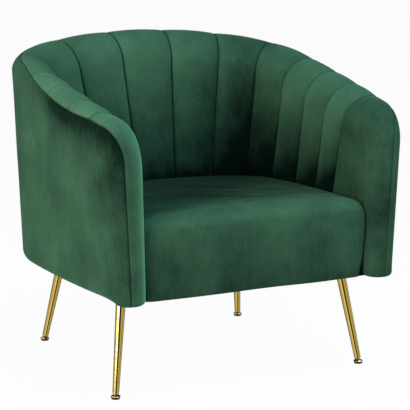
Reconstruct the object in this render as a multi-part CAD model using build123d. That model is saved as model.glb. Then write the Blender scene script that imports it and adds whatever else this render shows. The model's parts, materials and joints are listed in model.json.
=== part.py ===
from build123d import *
import math
import os

# Velvet tub armchair. Millimetres, floor at z = 0, front towards -Y.
# Left and right are as seen from the front. "In" is a distance inwards from the outer face of the wall.

# Plan of the wall, at the level of the rim
WIDTH = 752.0              # widest distance over the two outer faces
DEPTH = 696.0              # front of the arms to the outer back
BACK_RADIUS = 900.0
CORNER_RADIUS = 195.0
SIDE_RADIUS = 2800.0
WIDEST_FROM_BACK = 298.0   # where the sides are furthest apart

# Wall section
WALL = 84.0                # outer face to inner face, just under the rim
EDGE_RADIUS = 32.0         # rounding of the rim and of the arm fronts
BASE_INSET = 17.0          # how far the outer face leans in at its foot
TUCK_RADIUS = 14.0         # turn of the cover under the base
TUCK_FLAP = 20.0           # width of cover stapled under the base
COVER = 4.0                # velvet with its wadding
CREST_IN = 42.0            # line along the rim on which lengths are measured

# Rim and heights
BACK_HEIGHT = 737.0        # crest of the rim at the middle of the back
RIM_SLOPE = 0.185          # fall of the rim along the arms
RIM_ARCH = 300.0           # length of rim each side of the middle that bends into that slope
ARM_CORNER_RADIUS = 88.0   # top front corner of an arm, seen from the side
BODY_HEIGHT = 223.0        # underside of the upholstered body
SEAT_LEVEL = 395.0         # where the channels meet the seat

# Channels of the inner back and arms: one in the middle, then outwards to each arm front
CHANNEL_SHARES = (72.0, 133.0, 132.0, 142.0, 111.0, 107.0, 105.0)   # of the crest, the middle one halved
SEAM_LEANS = (14.0, 34.0, 0.0, 6.0, 10.0, 24.0, 45.0)    # foot of each seam behind its top
SEAM_PADDING = (160.0, 158.0, 148.0, 122.0, 110.0, 100.0, 91.0)   # wall depth at the seat, at each seam
CHANNEL_SINK = 8.0         # depth of a sewn seam below the crown of its channels
RIM_SINK = 0.35            # share of that depth left where a seam reaches the outer edge
CHANNEL_STEPS = 4          # parts a channel is shaped in, from seam to seam
CHANNEL_FOOT = 345.0       # lower end of a channel, behind the seat
ARM_NOSE = 97.7            # last seam to the front of an arm, at the rim
ARM_FRONT_PADDING = 38.0   # padding over the front of the arm frame

# Frame of the wall
BOARD_THICK = 18.0         # base board
BOARD_RING = 124.0         # width of the base board between its edges
POST_THICK = 18.0
POST_WIDTH = 45.0
RAIL_DROP = 50.0           # padding over the top rail
RAIL_THICK = 25.0
TACK_THICK = 3.0           # fibreboard behind the outer cover
PANEL_THICK = 3.0          # fibreboard behind the channels
FIT = 0.4                  # gap between soft pieces and what they lie on
LOOSE = 1.0                # gap to a drawn-tight cover
SEWN = 0.15                # difference that the sewn stretches of a cover take up

# Seat
SEAT_SIDE_IN = 114.0       # widest place of the wall to the seat, at its front
SEAT_TAPER = 13.0          # how much nearer the middle each side is at the rear
SEAT_FRONT_IN = 25.0       # front of the arms to the fullest line of the seat's front face
SEAT_REAR_IN = 168.0       # outer back to the seat's rear edge
SEAT_DRAW = 12.0           # how far the foot of the front face is drawn in
SEAT_SIDE_DRAW = 6.0
SEAT_REAR_RADIUS = 114.0
SEAT_CROWN_RISE = 14.0     # highest point of the seat above its level at the channels
SEAT_CROWN_BACK = 143.0    # and its distance from the front
SEAT_FULL_DROP = 74.0      # fullest line below the highest point
SEAT_CROWN_RADIUS = 4200.0
SEAT_EDGE_RADIUS = 29.0
SEAT_CORNER_RADIUS = 31.0
SEAT_RAIL_HEIGHT = 66.0
SEAT_RAIL_THICK = 22.0
SEAT_RAIL_IN = 22.0        # side of the seat to the outer face of its side rails
REAR_RAIL_IN = 80.0        # rear edge of the seat to the front face of the rear rail
WEB_WIDTH = 55.0
WEB_THICK = 2.0
WEB_LONG_GAP = 95.0        # between centres of straps that run front to back
WEB_CROSS_GAP = 88.0
WEB_COUNT = 4
FELT_THICK = 4.0
DUST_THICK = 1.2

# Legs and levelling glides
FRONT_PLATE_IN = 92.1      # outer face to the centre of a front leg plate
FRONT_PLATE_BACK = 146.4   # front of the arms to that centre
REAR_PLATE_IN = 86.1       # outer face at a rear corner to the centre of its leg plate
REAR_PLATE_TURN = 28.8     # place of that plate round the corner, in degrees from the back
FRONT_RAKE = (-0.149, 0.172)   # lean of a front leg per unit of height, across and along
REAR_RAKE = (-0.146, -0.225)
LEG_TOP_RADIUS = 11.2
LEG_FOOT_RADIUS = 7.3
LEG_WALL = 1.5
PLATE_RADIUS = 32.0
PLATE_THICK = 4.0
BOLT_CIRCLE = 22.0         # radius of the circle of bolts in a leg plate
BOLT_COUNT = 4
BOLT_RADIUS = 3.0
BOLT_HEAD_RADIUS = 5.5
BOLT_HEAD_HEIGHT = 3.0
BOLT_FIT = 0.1
NUT_FLANGE_RADIUS = 9.0
NUT_FLANGE_THICK = 1.5
NUT_BARREL_RADIUS = 4.2
NUT_BARREL = 9.0
PLUG_LENGTH = 22.0
STUD_RADIUS = 4.0
STUD_LENGTH = 34.0
STUD_FIT = 0.06
COLLAR_RADIUS = 6.6
COLLAR_THICK = 2.0
NECK_RADIUS = 2.4
NECK_LENGTH = 5.0          # ball centre to collar
BALL_RADIUS = 4.0
BALL_FIT = 0.15
BALL_HEIGHT = 6.0          # ball centre above the floor
GLIDE_RADIUS = 10.6
GLIDE_FOOT_RADIUS = 9.0
GLIDE_CAP_TOP_RADIUS = 5.6
PAD_HEIGHT = 5.0
GLIDE_HEIGHT = 8.2


# Plan of the wall: a back arc, two corner arcs and two side arcs that run into each other

def circles_meeting(first, first_radius, second, second_radius):
    """The rear one of the two points where two circles cross."""
    span = second - first
    reach = (first_radius**2 - second_radius**2 + span.length**2) / (2 * span.length)
    rise = math.sqrt(first_radius**2 - reach**2)
    unit = span.normalized()
    side = Vector(unit.Y, -unit.X)
    both = (first + unit * reach + side * rise, first + unit * reach - side * rise)
    return max(both, key=lambda point: point.Y)


def bearing(way):
    """Turn of a direction from +Y towards +X, in radians."""
    return math.atan2(way.X, way.Y)


BACK_CENTRE = Vector(0, DEPTH / 2 - BACK_RADIUS)
SIDE_CENTRE = Vector(WIDTH / 2 - SIDE_RADIUS, DEPTH / 2 - WIDEST_FROM_BACK)
CORNER_CENTRE = circles_meeting(BACK_CENTRE, BACK_RADIUS - CORNER_RADIUS,
                                SIDE_CENTRE, SIDE_RADIUS - CORNER_RADIUS)
BACK_TURN = bearing(CORNER_CENTRE - BACK_CENTRE)
CORNER_TURN = bearing(CORNER_CENTRE - SIDE_CENTRE)
BACK_RUN = (BACK_RADIUS - CREST_IN) * BACK_TURN
CORNER_RUN = (CORNER_RADIUS - CREST_IN) * (CORNER_TURN - BACK_TURN)


def wall_station(run):
    """Point on the outer face, outward and forward directions at a length along the crest."""
    length = abs(run)
    side = -1 if run < 0 else 1
    if length <= BACK_RUN:
        centre, radius = BACK_CENTRE, BACK_RADIUS
        turn = length / (BACK_RADIUS - CREST_IN)
    elif length <= BACK_RUN + CORNER_RUN:
        centre, radius = CORNER_CENTRE, CORNER_RADIUS
        turn = BACK_TURN + (length - BACK_RUN) / (CORNER_RADIUS - CREST_IN)
    else:
        centre, radius = SIDE_CENTRE, SIDE_RADIUS
        turn = CORNER_TURN + (length - BACK_RUN - CORNER_RUN) / (SIDE_RADIUS - CREST_IN)
    point = centre + Vector(math.sin(turn), math.cos(turn)) * radius
    outward = Vector(side * math.sin(turn), math.cos(turn))
    forward = Vector(side * math.cos(turn), -math.sin(turn))
    return Vector(side * point.X, point.Y), outward, forward


def rim_height(run):
    """Height of the crest of the rim."""
    length = abs(run)
    bent = min(length, RIM_ARCH)
    return BACK_HEIGHT - RIM_SLOPE * bent**2 / (2 * RIM_ARCH) - RIM_SLOPE * (length - bent)


def rim_bend(run, radius, degrees):
    """Point (in, height) on the outer rounding of the rim, cut upright across its slope."""
    slope = RIM_SLOPE * min(abs(run), RIM_ARCH) / RIM_ARCH
    stretch = math.hypot(1, slope)
    angle = math.radians(degrees)
    height = rim_height(run) - EDGE_RADIUS * stretch + radius * stretch * math.sin(angle)
    return (EDGE_RADIUS + radius * math.cos(angle), height)


def across_wall(run, points_and_arcs, lean=0.0):
    """Closed face across the wall, from (in, height) points; a nested point bends the edge to it.

    The lean has the sign of the run.
    """
    edge, outward, forward = wall_station(run)
    slope = abs(lean) / (rim_height(run) - SEAT_LEVEL)
    rise = forward * slope + Vector(0, 0, 1)
    plane = Plane(edge - forward * slope * rim_height(run), x_dir=-outward, z_dir=(-outward).cross(rise))

    def place(point):
        return Vector(point[0], point[1] * rise.length)

    edges = []
    start = points_and_arcs[-1][-1]
    for step in points_and_arcs:
        if len(step) == 2:
            edges.append(ThreePointArc(place(start), place(step[0]), place(step[1])))
        else:
            edges.append(Line(place(start), place(step[0])))
        start = step[-1]
    return plane * make_face(edges)


def on_circle(centre, radius, degrees):
    """Point of a circle in a wall section."""
    angle = math.radians(degrees)
    return (centre[0] + radius * math.cos(angle), centre[1] + radius * math.sin(angle))


# Places of the seat
SEAT_HALF_FRONT = WIDTH / 2 - SEAT_SIDE_IN
SEAT_HALF_REAR = SEAT_HALF_FRONT - SEAT_TAPER
SEAT_FRONT = SEAT_FRONT_IN - DEPTH / 2
SEAT_REAR = DEPTH / 2 - SEAT_REAR_IN
SEAT_CROWN = SEAT_LEVEL + SEAT_CROWN_RISE
SEAT_CROWN_Y = SEAT_FRONT + SEAT_CROWN_BACK
SEAT_FULL_HEIGHT = SEAT_CROWN - SEAT_FULL_DROP
SEAT_RAIL_HALF = SEAT_HALF_FRONT - SEAT_RAIL_IN
REAR_RAIL_Y = SEAT_REAR - REAR_RAIL_IN

# Depths of the layers, inwards from the outer face
BOARD_IN = BASE_INSET + TUCK_RADIUS + LOOSE
TACK_IN = BASE_INSET + COVER + LOOSE
RAIL_IN = TACK_IN + TACK_THICK + FIT
FRAME_IN = RAIL_IN + POST_THICK
PANEL_IN = FRAME_IN + FIT
CHANNEL_IN = PANEL_IN + PANEL_THICK + FIT
BOARD_FOOT = BODY_HEIGHT + COVER + FIT
BOARD_TOP = BOARD_FOOT + BOARD_THICK
SEAM_ANGLE = 135.0         # place of the outer seam on the rounding of the rim
CHANNEL_SEAM_ANGLE = SEAM_ANGLE - 1.0



def nose_turn():
    """Turn of the side arc at which an arm's rounded front still lies a nose length ahead."""
    ahead = ARM_NOSE - EDGE_RADIUS
    reach = SIDE_RADIUS - EDGE_RADIUS
    return math.atan2(reach, ahead) + math.asin((SIDE_CENTRE.Y + DEPTH / 2 - EDGE_RADIUS) / math.hypot(reach, ahead))


# Lengths along the crest of the seams, from the middle of the back to an arm front
FRONT_RUN = BACK_RUN + CORNER_RUN + (SIDE_RADIUS - CREST_IN) * (nose_turn() - CORNER_TURN)
SEAMS = []
for count in range(len(CHANNEL_SHARES)):
    SEAMS.append(FRONT_RUN * sum(CHANNEL_SHARES[:count + 1]) / sum(CHANNEL_SHARES))
FRONT_EDGE, FRONT_OUTWARD, FRONT_FORWARD = wall_station(FRONT_RUN)
FRONT_PLANE = Plane(FRONT_EDGE, x_dir=-FRONT_OUTWARD, z_dir=(0, 0, 1))
FRAME_FRONT = ARM_FRONT_PADDING + LOOSE - DEPTH / 2
FRONT_RIM = rim_height(FRONT_RUN)


# Channels

def channel_section(run, lean, padding, sink):
    """Section of the padded channel layer: up the inner face, over the rim to the outer seam, and back."""
    rim = rim_height(run)
    inner = (WALL - EDGE_RADIUS, rim - EDGE_RADIUS)
    outer = (EDGE_RADIUS, rim - EDGE_RADIUS)
    inner_radius = EDGE_RADIUS - sink
    outer_radius = EDGE_RADIUS - sink * RIM_SINK
    seat = (padding - sink, SEAT_LEVEL)
    reach = Vector(seat[0] - inner[0], seat[1] - inner[1])
    tangent = math.degrees(math.atan2(reach.Y, reach.X) + math.acos(inner_radius / reach.length))
    middle = (tangent + 90) / 2
    seam_bend = (90 + CHANNEL_SEAM_ANGLE) / 2
    return across_wall(run, [
        ((seat[0], CHANNEL_FOOT),),
        (seat,),
        (on_circle(inner, inner_radius, tangent),),
        (on_circle(inner, inner_radius, middle), on_circle(inner, inner_radius, 90)),
        (on_circle(outer, outer_radius, 90),),
        (on_circle(outer, outer_radius, seam_bend), on_circle(outer, outer_radius, CHANNEL_SEAM_ANGLE)),
        (on_circle(outer, EDGE_RADIUS - COVER - LOOSE, CHANNEL_SEAM_ANGLE),),
        ((COVER + TACK_THICK, rim - RAIL_DROP - RAIL_THICK),),
        ((RAIL_IN, rim - RAIL_DROP - RAIL_THICK),),
        ((RAIL_IN, CHANNEL_FOOT),),
    ], lean)


def make_channel(first, second):
    """One channel between two seams, each (run, lean, padding)."""
    sections = []
    for step in range(CHANNEL_STEPS + 1):
        share = step / CHANNEL_STEPS
        place = [one + (other - one) * share for one, other in zip(first, second)]
        sections.append(channel_section(*place, CHANNEL_SINK * (2 * share - 1) ** 2))
    return loft(sections) - frame_space()


def make_arm_end(inset, rear, both_sides=True):
    """Rounded end of an arm as a block (in, forward, up) in the plane of the arm front."""
    front = ARM_NOSE - inset
    foot = BODY_HEIGHT + inset
    rim = FRONT_RIM - inset
    side = Plane.YZ * make_face(Polyline(
        (-rear, foot), (front, foot), (front, rim - RIM_SLOPE * front), (-rear, rim + RIM_SLOPE * rear), close=True))
    head = FRONT_RIM + WALL
    section = Plane.XZ * make_face(Polyline(
        (outer_in(foot) + inset, foot), (WALL, foot), (WALL, head), (outer_in(head) + inset, head), close=True))
    block = extrude(side, WALL * 2, both=True) & extrude(section, ARM_NOSE * 4, both=True)
    top_front = block.edges().filter_by(Axis.X).group_by(Axis.Y)[-1].sort_by(Axis.Z)[-1]
    block = fillet(top_front, ARM_CORNER_RADIUS - inset)
    sides = [block.faces().sort_by(Axis.X)[0]]
    if both_sides:
        sides.append(block.faces().sort_by(Axis.X)[-1])
    rounded = []
    for face in sides:
        for edge in face.edges():
            centre = edge.center()
            if centre.Z > foot + FIT and centre.Y > FIT - rear:
                rounded.append(edge)
    block = fillet(rounded, EDGE_RADIUS - inset)
    under = block.faces().sort_by(Axis.Z)[0]
    tucked = [edge for edge in under.edges() if edge.center().Y > FIT - rear]
    return fillet(tucked, TUCK_RADIUS - inset)


def outer_in(height):
    """How far in the leaning outer face of an arm front is at a height."""
    return BASE_INSET * (FRONT_RIM - EDGE_RADIUS - height) / (FRONT_RIM - EDGE_RADIUS - BODY_HEIGHT - TUCK_RADIUS)


def make_seam_side(gap):
    """Region of the arm front outside its vertical seam, which the outer cover fills."""
    seam_in = EDGE_RADIUS + on_circle((0, 0), EDGE_RADIUS, SEAM_ANGLE)[0] + gap
    foot = 0.0
    head = BACK_HEIGHT
    section = Plane.XZ * make_face(Polyline(
        (outer_in(foot) + seam_in, foot), (-WALL, foot), (-WALL, head), (outer_in(head) + seam_in, head), close=True))
    return extrude(section, ARM_NOSE * 4, both=True)


def make_arm_front():
    """Front channel of an arm: it wraps the end of the arm round to the outer seam."""
    rear = ARM_NOSE * 2
    beside_cover = Box(WALL * 4, rear * 4, BACK_HEIGHT * 4, align=(Align.CENTER, Align.MAX, Align.CENTER))
    block = make_arm_end(0, rear) - make_seam_side(LOOSE)
    block -= make_seam_side(COVER + LOOSE) & Pos(0, LOOSE, 0) * beside_cover
    slope = SEAM_LEANS[-1] / (FRONT_RIM - SEAT_LEVEL)
    behind = Plane.YZ * make_face(Polyline(
        (-slope * FRONT_RIM, 0), (slope * WALL, FRONT_RIM + WALL), (-rear * 2, FRONT_RIM + WALL), (-rear * 2, 0),
        close=True))
    block -= extrude(behind, WALL * 2, both=True)
    board = Pos(0, 0, BODY_HEIGHT - LOOSE) * extrude(
        plan_face(BOARD_IN - LOOSE, BOARD_FRONT - LOOSE), BOARD_TOP + NUT_FLANGE_THICK - BODY_HEIGHT + 2 * LOOSE)
    return FRONT_PLANE.location * block - frame_space() - board


def cover_section(run):
    """Section of the outer cover: flap under the base, tuck, leaning face and the turn up to the seam."""
    tuck = (BASE_INSET + TUCK_RADIUS, BODY_HEIGHT + TUCK_RADIUS)
    inside = EDGE_RADIUS - COVER
    tuck_inside = TUCK_RADIUS - COVER
    seam_bend = (180 + SEAM_ANGLE) / 2
    flap = tuck[0] + TUCK_FLAP
    return across_wall(run, [
        ((flap, BODY_HEIGHT + COVER),),
        ((flap, BODY_HEIGHT),),
        ((tuck[0], BODY_HEIGHT),),
        (on_circle(tuck, TUCK_RADIUS, 225), on_circle(tuck, TUCK_RADIUS, 180)),
        (rim_bend(run, EDGE_RADIUS, 180),),
        (rim_bend(run, EDGE_RADIUS, seam_bend), rim_bend(run, EDGE_RADIUS, SEAM_ANGLE)),
        (rim_bend(run, inside, SEAM_ANGLE),),
        (rim_bend(run, inside, seam_bend), rim_bend(run, inside, 180)),
        (on_circle(tuck, tuck_inside, 180),),
        (on_circle(tuck, tuck_inside, 225), (tuck[0], BODY_HEIGHT + COVER)),
    ])


def cover_span(first, last, count):
    """Stretch of the outer cover between two lengths along the crest."""
    return loft([cover_section(first + (last - first) * step / count) for step in range(count + 1)])


def make_outer_cover():
    """Outer velvet panel with its two arm ends."""
    side_start = BACK_RUN + CORNER_RUN
    shell = (make_arm_end(0, 0) - make_arm_end(COVER, ARM_NOSE, both_sides=False)) & make_seam_side(0.0)
    side = cover_span(side_start, FRONT_RUN, 3).fuse(FRONT_PLANE.location * shell, tol=SEWN)
    half = cover_span(BACK_RUN, side_start, 5) + side
    return cover_span(-BACK_RUN, BACK_RUN, 6) + half + mirror(half, about=Plane.YZ)


# Frame of the back and arms

def plan_face(distance, front):
    """Plan of everything inside a line that runs parallel to the outer face, cut off square at the front."""
    def arc(centre, radius, first, last):
        points = []
        for turn in (first, (first + last) / 2, last):
            points.append(centre + Vector(math.sin(turn), math.cos(turn)) * (radius - distance))
        return ThreePointArc(*points)

    end_turn = math.acos((front - SIDE_CENTRE.Y) / (SIDE_RADIUS - distance))
    right = [arc(BACK_CENTRE, BACK_RADIUS, 0.0, BACK_TURN),
             arc(CORNER_CENTRE, CORNER_RADIUS, BACK_TURN, CORNER_TURN),
             arc(SIDE_CENTRE, SIDE_RADIUS, CORNER_TURN, end_turn)]
    left = [mirror(edge, about=Plane.YZ) for edge in right]
    end = right[-1] @ 1
    return make_face(right + left + [Line((end.X, end.Y), (-end.X, end.Y))])


def under_slope(drop):
    """Everything that lies a drop below the sloping line of the arms' rim."""
    front_height = FRONT_RIM - drop + RIM_SLOPE * (-DEPTH - FRONT_EDGE.Y)
    rear_height = FRONT_RIM - drop + RIM_SLOPE * (DEPTH - FRONT_EDGE.Y)
    side = Plane.YZ * make_face(Polyline(
        (-DEPTH, 0), (DEPTH, 0), (DEPTH, rear_height), (-DEPTH, front_height), close=True))
    return extrude(side, WIDTH, both=True)


def hoop(near, far, foot, drop, front):
    """Upright board bent round the back and arms between two depths, from a height up to the slope."""
    ring = plan_face(near, front) - plan_face(far, front)
    return Pos(0, 0, foot) * extrude(ring, BACK_HEIGHT - foot) & under_slope(drop)


def frame_space():
    """Room inside the padding for the frame and its panels."""
    return hoop(-LOOSE, CHANNEL_IN, BODY_HEIGHT - LOOSE, RAIL_DROP - FIT, FRAME_FRONT - LOOSE)


def make_rails():
    """Top rail of the back and of both arms, butted at the rear corners."""
    rail = hoop(RAIL_IN, FRAME_IN, BOARD_TOP, RAIL_DROP, FRAME_FRONT) - under_slope(RAIL_DROP + RAIL_THICK)
    joint = CORNER_CENTRE.Y + (CORNER_RADIUS - FRAME_IN) / 2
    behind = Pos(0, joint, 0) * Box(WIDTH * 2, DEPTH, BACK_HEIGHT * 2, align=(Align.CENTER, Align.MIN, Align.CENTER))
    arms = (rail - behind).solids().sort_by(Axis.X)
    return rail & behind, arms[0], arms[-1]


def make_post(run):
    """Upright between the base board and the top rail."""
    edge, outward, forward = wall_station(run)
    slot = Plane(edge, x_dir=-outward, z_dir=(0, 0, 1)) * Box(WALL * 2, POST_WIDTH, BACK_HEIGHT * 2)
    return hoop(RAIL_IN, FRAME_IN, BOARD_TOP, RAIL_DROP + RAIL_THICK, FRAME_FRONT) & slot


def make_tack_panel():
    """Fibreboard that the outer cover is stretched over."""
    foot = BODY_HEIGHT + TUCK_RADIUS + LOOSE
    return hoop(TACK_IN, TACK_IN + TACK_THICK, foot, RAIL_DROP, FRAME_FRONT)


def make_inner_panel():
    """Fibreboard that the channels lie on."""
    return hoop(PANEL_IN, PANEL_IN + PANEL_THICK, BOARD_TOP, RAIL_DROP, FRAME_FRONT)


def leg_places():
    """Name, foot and rake of each leg, which runs down from the centre of its plate."""
    along = FRONT_PLATE_BACK - DEPTH / 2
    side_face = SIDE_CENTRE.X + math.sqrt(SIDE_RADIUS**2 - (along - SIDE_CENTRE.Y) ** 2)
    front = Vector(side_face - FRONT_PLATE_IN, along)
    turn = math.radians(REAR_PLATE_TURN)
    rear = CORNER_CENTRE + Vector(math.sin(turn), math.cos(turn)) * (CORNER_RADIUS - REAR_PLATE_IN)
    for row, plate, rake in (("front", front, FRONT_RAKE), ("rear", rear, REAR_RAKE)):
        foot = plate - Vector(*rake) * (PLATE_FOOT - BALL_HEIGHT)
        for name, side in (("left", -1), ("right", 1)):
            yield f"{row}_{name}", Vector(side * foot.X, foot.Y), Vector(side * rake[0], rake[1], 1).normalized()


def leg_point(foot, axis, height):
    """Point of a leg's axis at a height above the floor."""
    return Vector(foot.X, foot.Y, BALL_HEIGHT) + axis * ((height - BALL_HEIGHT) / axis.Z)


def bolt_places():
    """Centres of the bolts of all leg plates, in plan."""
    for name, foot, axis in leg_places():
        centre = leg_point(foot, axis, PLATE_FOOT)
        for turn in PolarLocations(BOLT_CIRCLE, BOLT_COUNT, start_angle=BOLT_TURN):
            yield Pos(centre.X, centre.Y, 0) * turn


PLATE_FOOT = BOARD_FOOT - PLATE_THICK
BOARD_FRONT = SEAT_FRONT + SEAT_DRAW + COVER + 2 * FIT
BOLT_HOLE = NUT_BARREL_RADIUS + BOLT_FIT
BOLT_TURN = 180.0 / BOLT_COUNT


def make_base_board():
    """Plywood horseshoe closed across the front, bored for the tee nuts and bolts."""
    ring = plan_face(BOARD_IN, BOARD_FRONT) - plan_face(BOARD_IN + BOARD_RING, BOARD_FRONT + BOARD_RING)
    board = Pos(0, 0, BOARD_FOOT) * extrude(ring, BOARD_THICK)
    for place in bolt_places():
        board -= place * Pos(0, 0, BOARD_FOOT) * Cylinder(BOLT_HOLE, BOARD_THICK * 3)
    return board


# Seat

def make_seat_form(inset, foot):
    """Crowned seat block: full at mid height, drawn in at its foot, with rounded upper edges."""
    half = SEAT_HALF_FRONT - inset
    rear_half = SEAT_HALF_REAR - inset
    front = SEAT_FRONT + inset
    rear = SEAT_REAR - inset
    head = SEAT_CROWN + SEAT_EDGE_RADIUS
    plan = make_face(Polyline((-half, front), (half, front), (rear_half, rear), (-rear_half, rear), close=True))
    plan = fillet(plan.vertices().group_by(Axis.Y)[-1], SEAT_REAR_RADIUS - inset)
    plan = fillet(plan.vertices().group_by(Axis.Y)[0], SEAT_CORNER_RADIUS - inset)
    draw = SEAT_DRAW * (SEAT_FULL_HEIGHT - foot) / (SEAT_FULL_HEIGHT - BODY_HEIGHT)
    side_draw = SEAT_SIDE_DRAW * (SEAT_FULL_HEIGHT - foot) / (SEAT_FULL_HEIGHT - BODY_HEIGHT)
    side = Plane.YZ * make_face(Polyline(
        (front + draw, foot), (front, SEAT_FULL_HEIGHT), (front, head), (rear, head), (rear, foot), close=True))
    section = Plane.XZ * make_face(Polyline(
        (half - side_draw, foot), (half, SEAT_FULL_HEIGHT), (half, head), (-half, head), (-half, SEAT_FULL_HEIGHT),
        (side_draw - half, foot), close=True))
    form = Pos(0, 0, foot) * extrude(plan, head - foot)
    form = form & extrude(side, WIDTH, both=True) & extrude(section, DEPTH, both=True)
    crown = Pos(0, SEAT_CROWN_Y, SEAT_CROWN - SEAT_CROWN_RADIUS) * Sphere(SEAT_CROWN_RADIUS - inset)
    form = form & crown
    return fillet(form.faces().sort_by(Axis.Z)[-1].edges(), SEAT_EDGE_RADIUS - inset)


def make_seat_cover():
    """Tight velvet cover of the seat; its front runs down under the chair's front edge."""
    cover = make_seat_form(0, BODY_HEIGHT) - make_seat_form(COVER, BODY_HEIGHT - COVER)
    return cover - under_seat()


SEAT_RAIL_TOP = BOARD_TOP + SEAT_RAIL_HEIGHT
WEB_TOP = SEAT_RAIL_TOP + 2 * WEB_THICK + FIT
FELT_TOP = WEB_TOP + FELT_THICK
RAIL_REAR = BOARD_FRONT + SEAT_RAIL_THICK


def make_seat_foam():
    """Foam block under the cover, with an apron down the face of the front rail."""
    foam = make_seat_form(COVER + FIT, BODY_HEIGHT)
    return foam - under_seat()


def under_seat():
    """Room under the seat foam for its rails, webbing and felt, behind the front apron."""
    space = Box(WIDTH, DEPTH, FELT_TOP + FIT, align=(Align.CENTER, Align.MIN, Align.MIN))
    return Pos(0, BOARD_FRONT - FIT, 0) * space


def make_seat_felt():
    """Felt pad over the webbing."""
    depth = REAR_RAIL_Y + SEAT_RAIL_THICK - BOARD_FRONT
    pad = Box(2 * SEAT_RAIL_HALF - 2 * FIT, depth, FELT_THICK, align=(Align.CENTER, Align.MIN, Align.MIN))
    felt = Pos(0, BOARD_FRONT, WEB_TOP) * pad
    return fillet(felt.edges().filter_by(Axis.Z).group_by(Axis.Y)[-1], SEAT_RAIL_THICK * 2)


def make_cross_rail(front):
    """Seat rail that runs across the chair."""
    rail = Box(2 * SEAT_RAIL_HALF, SEAT_RAIL_THICK, SEAT_RAIL_HEIGHT, align=(Align.CENTER, Align.MIN, Align.MIN))
    return Pos(0, front, BOARD_TOP) * rail


def make_side_rail(side):
    """Seat rail that runs front to back between the cross rails."""
    length = REAR_RAIL_Y - RAIL_REAR
    rail = Box(SEAT_RAIL_THICK, length, SEAT_RAIL_HEIGHT, align=(Align.CENTER, Align.MIN, Align.MIN))
    return Pos(side * (SEAT_RAIL_HALF - SEAT_RAIL_THICK / 2), RAIL_REAR, BOARD_TOP) * rail


def make_long_webbing():
    """Elastic straps from the front rail to the rear rail."""
    length = REAR_RAIL_Y + SEAT_RAIL_THICK - BOARD_FRONT
    strap = Box(WEB_WIDTH, length, WEB_THICK, align=(Align.CENTER, Align.MIN, Align.MIN))
    straps = []
    for step in range(WEB_COUNT):
        across = (step - (WEB_COUNT - 1) / 2) * WEB_LONG_GAP
        straps.append(Pos(across, BOARD_FRONT, SEAT_RAIL_TOP) * strap)
    return Compound(straps)


def make_cross_webbing():
    """Elastic straps from side rail to side rail, over the long ones."""
    strap = Box(2 * SEAT_RAIL_HALF, WEB_WIDTH, WEB_THICK, align=(Align.CENTER, Align.CENTER, Align.MIN))
    middle = (RAIL_REAR + REAR_RAIL_Y) / 2
    straps = []
    for step in range(WEB_COUNT):
        along = middle + (step - (WEB_COUNT - 1) / 2) * WEB_CROSS_GAP
        straps.append(Pos(0, along, SEAT_RAIL_TOP + WEB_THICK + FIT) * strap)
    return Compound(straps)


def make_dust_cover():
    """Black cloth closing the underside, cut out round the leg plates."""
    inner = BASE_INSET + TUCK_RADIUS + TUCK_FLAP + LOOSE
    cloth = Pos(0, 0, BOARD_FOOT - DUST_THICK) * extrude(plan_face(inner, BOARD_FRONT), DUST_THICK)
    opening = Cylinder(PLATE_RADIUS + FIT, PLATE_THICK * 4)
    for name, foot, axis in leg_places():
        centre = leg_point(foot, axis, PLATE_FOOT)
        cloth -= Pos(centre.X, centre.Y, BOARD_FOOT) * opening
    return cloth


# Legs and glides

LEG_END = NECK_LENGTH + COLLAR_THICK    # foot of a leg tube, along its axis from the ball


def leg_frame(foot, axis):
    """Plane at the ball centre with its normal up the leg."""
    return Plane(Vector(foot.X, foot.Y, BALL_HEIGHT), x_dir=Vector(0, 1, 0).cross(axis), z_dir=axis)


def leg_length(axis):
    """Length of a leg's axis from its foot to the plate."""
    return (PLATE_FOOT - BALL_HEIGHT) / axis.Z - LEG_END


def leg_cone(axis, thinner, length):
    """Tapered round bar that follows a leg, as far as a length up from its foot."""
    flare = (LEG_TOP_RADIUS - LEG_FOOT_RADIUS) / leg_length(axis)
    radius = LEG_FOOT_RADIUS - thinner
    bar = Cone(radius, radius + flare * length, length, align=(Align.CENTER, Align.CENTER, Align.MIN))
    return Pos(0, 0, LEG_END) * bar


def make_leg(foot, axis):
    """Tapered tube, cut level under its plate."""
    length = leg_length(axis) + 2 * LEG_TOP_RADIUS
    tube = leg_frame(foot, axis) * (leg_cone(axis, 0, length) - leg_cone(axis, LEG_WALL, length))
    above = Pos(0, 0, PLATE_FOOT) * Box(WIDTH, DEPTH, BODY_HEIGHT, align=(Align.CENTER, Align.CENTER, Align.MIN))
    return tube - above


def make_plug(foot, axis):
    """Threaded plug pressed into the foot of a leg."""
    plug = leg_cone(axis, LEG_WALL + STUD_FIT, PLUG_LENGTH)
    plug -= Cylinder(STUD_RADIUS + STUD_FIT, PLUG_LENGTH * 4)
    return leg_frame(foot, axis) * plug


def make_plate(foot, axis):
    """Round steel plate that a leg is welded to, with its bolt holes."""
    centre = leg_point(foot, axis, PLATE_FOOT)
    holes = PolarLocations(BOLT_CIRCLE, BOLT_COUNT, start_angle=BOLT_TURN) * Circle(BOLT_RADIUS + BOLT_FIT)
    plate = extrude(Circle(PLATE_RADIUS) - holes, PLATE_THICK)
    return Pos(centre.X, centre.Y, PLATE_FOOT) * plate


def make_bolt():
    """Pan-head bolt through a leg plate and the base board."""
    shank = Pos(0, 0, PLATE_FOOT) * Cylinder(
        BOLT_RADIUS, BOARD_TOP - PLATE_FOOT, align=(Align.CENTER, Align.CENTER, Align.MIN))
    head = Pos(0, 0, PLATE_FOOT - BOLT_HEAD_HEIGHT) * Cylinder(
        BOLT_HEAD_RADIUS, BOLT_HEAD_HEIGHT, align=(Align.CENTER, Align.CENTER, Align.MIN))
    head = fillet(head.edges().sort_by(Axis.Z)[0], BOLT_HEAD_HEIGHT / 2)
    return shank + head


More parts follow.
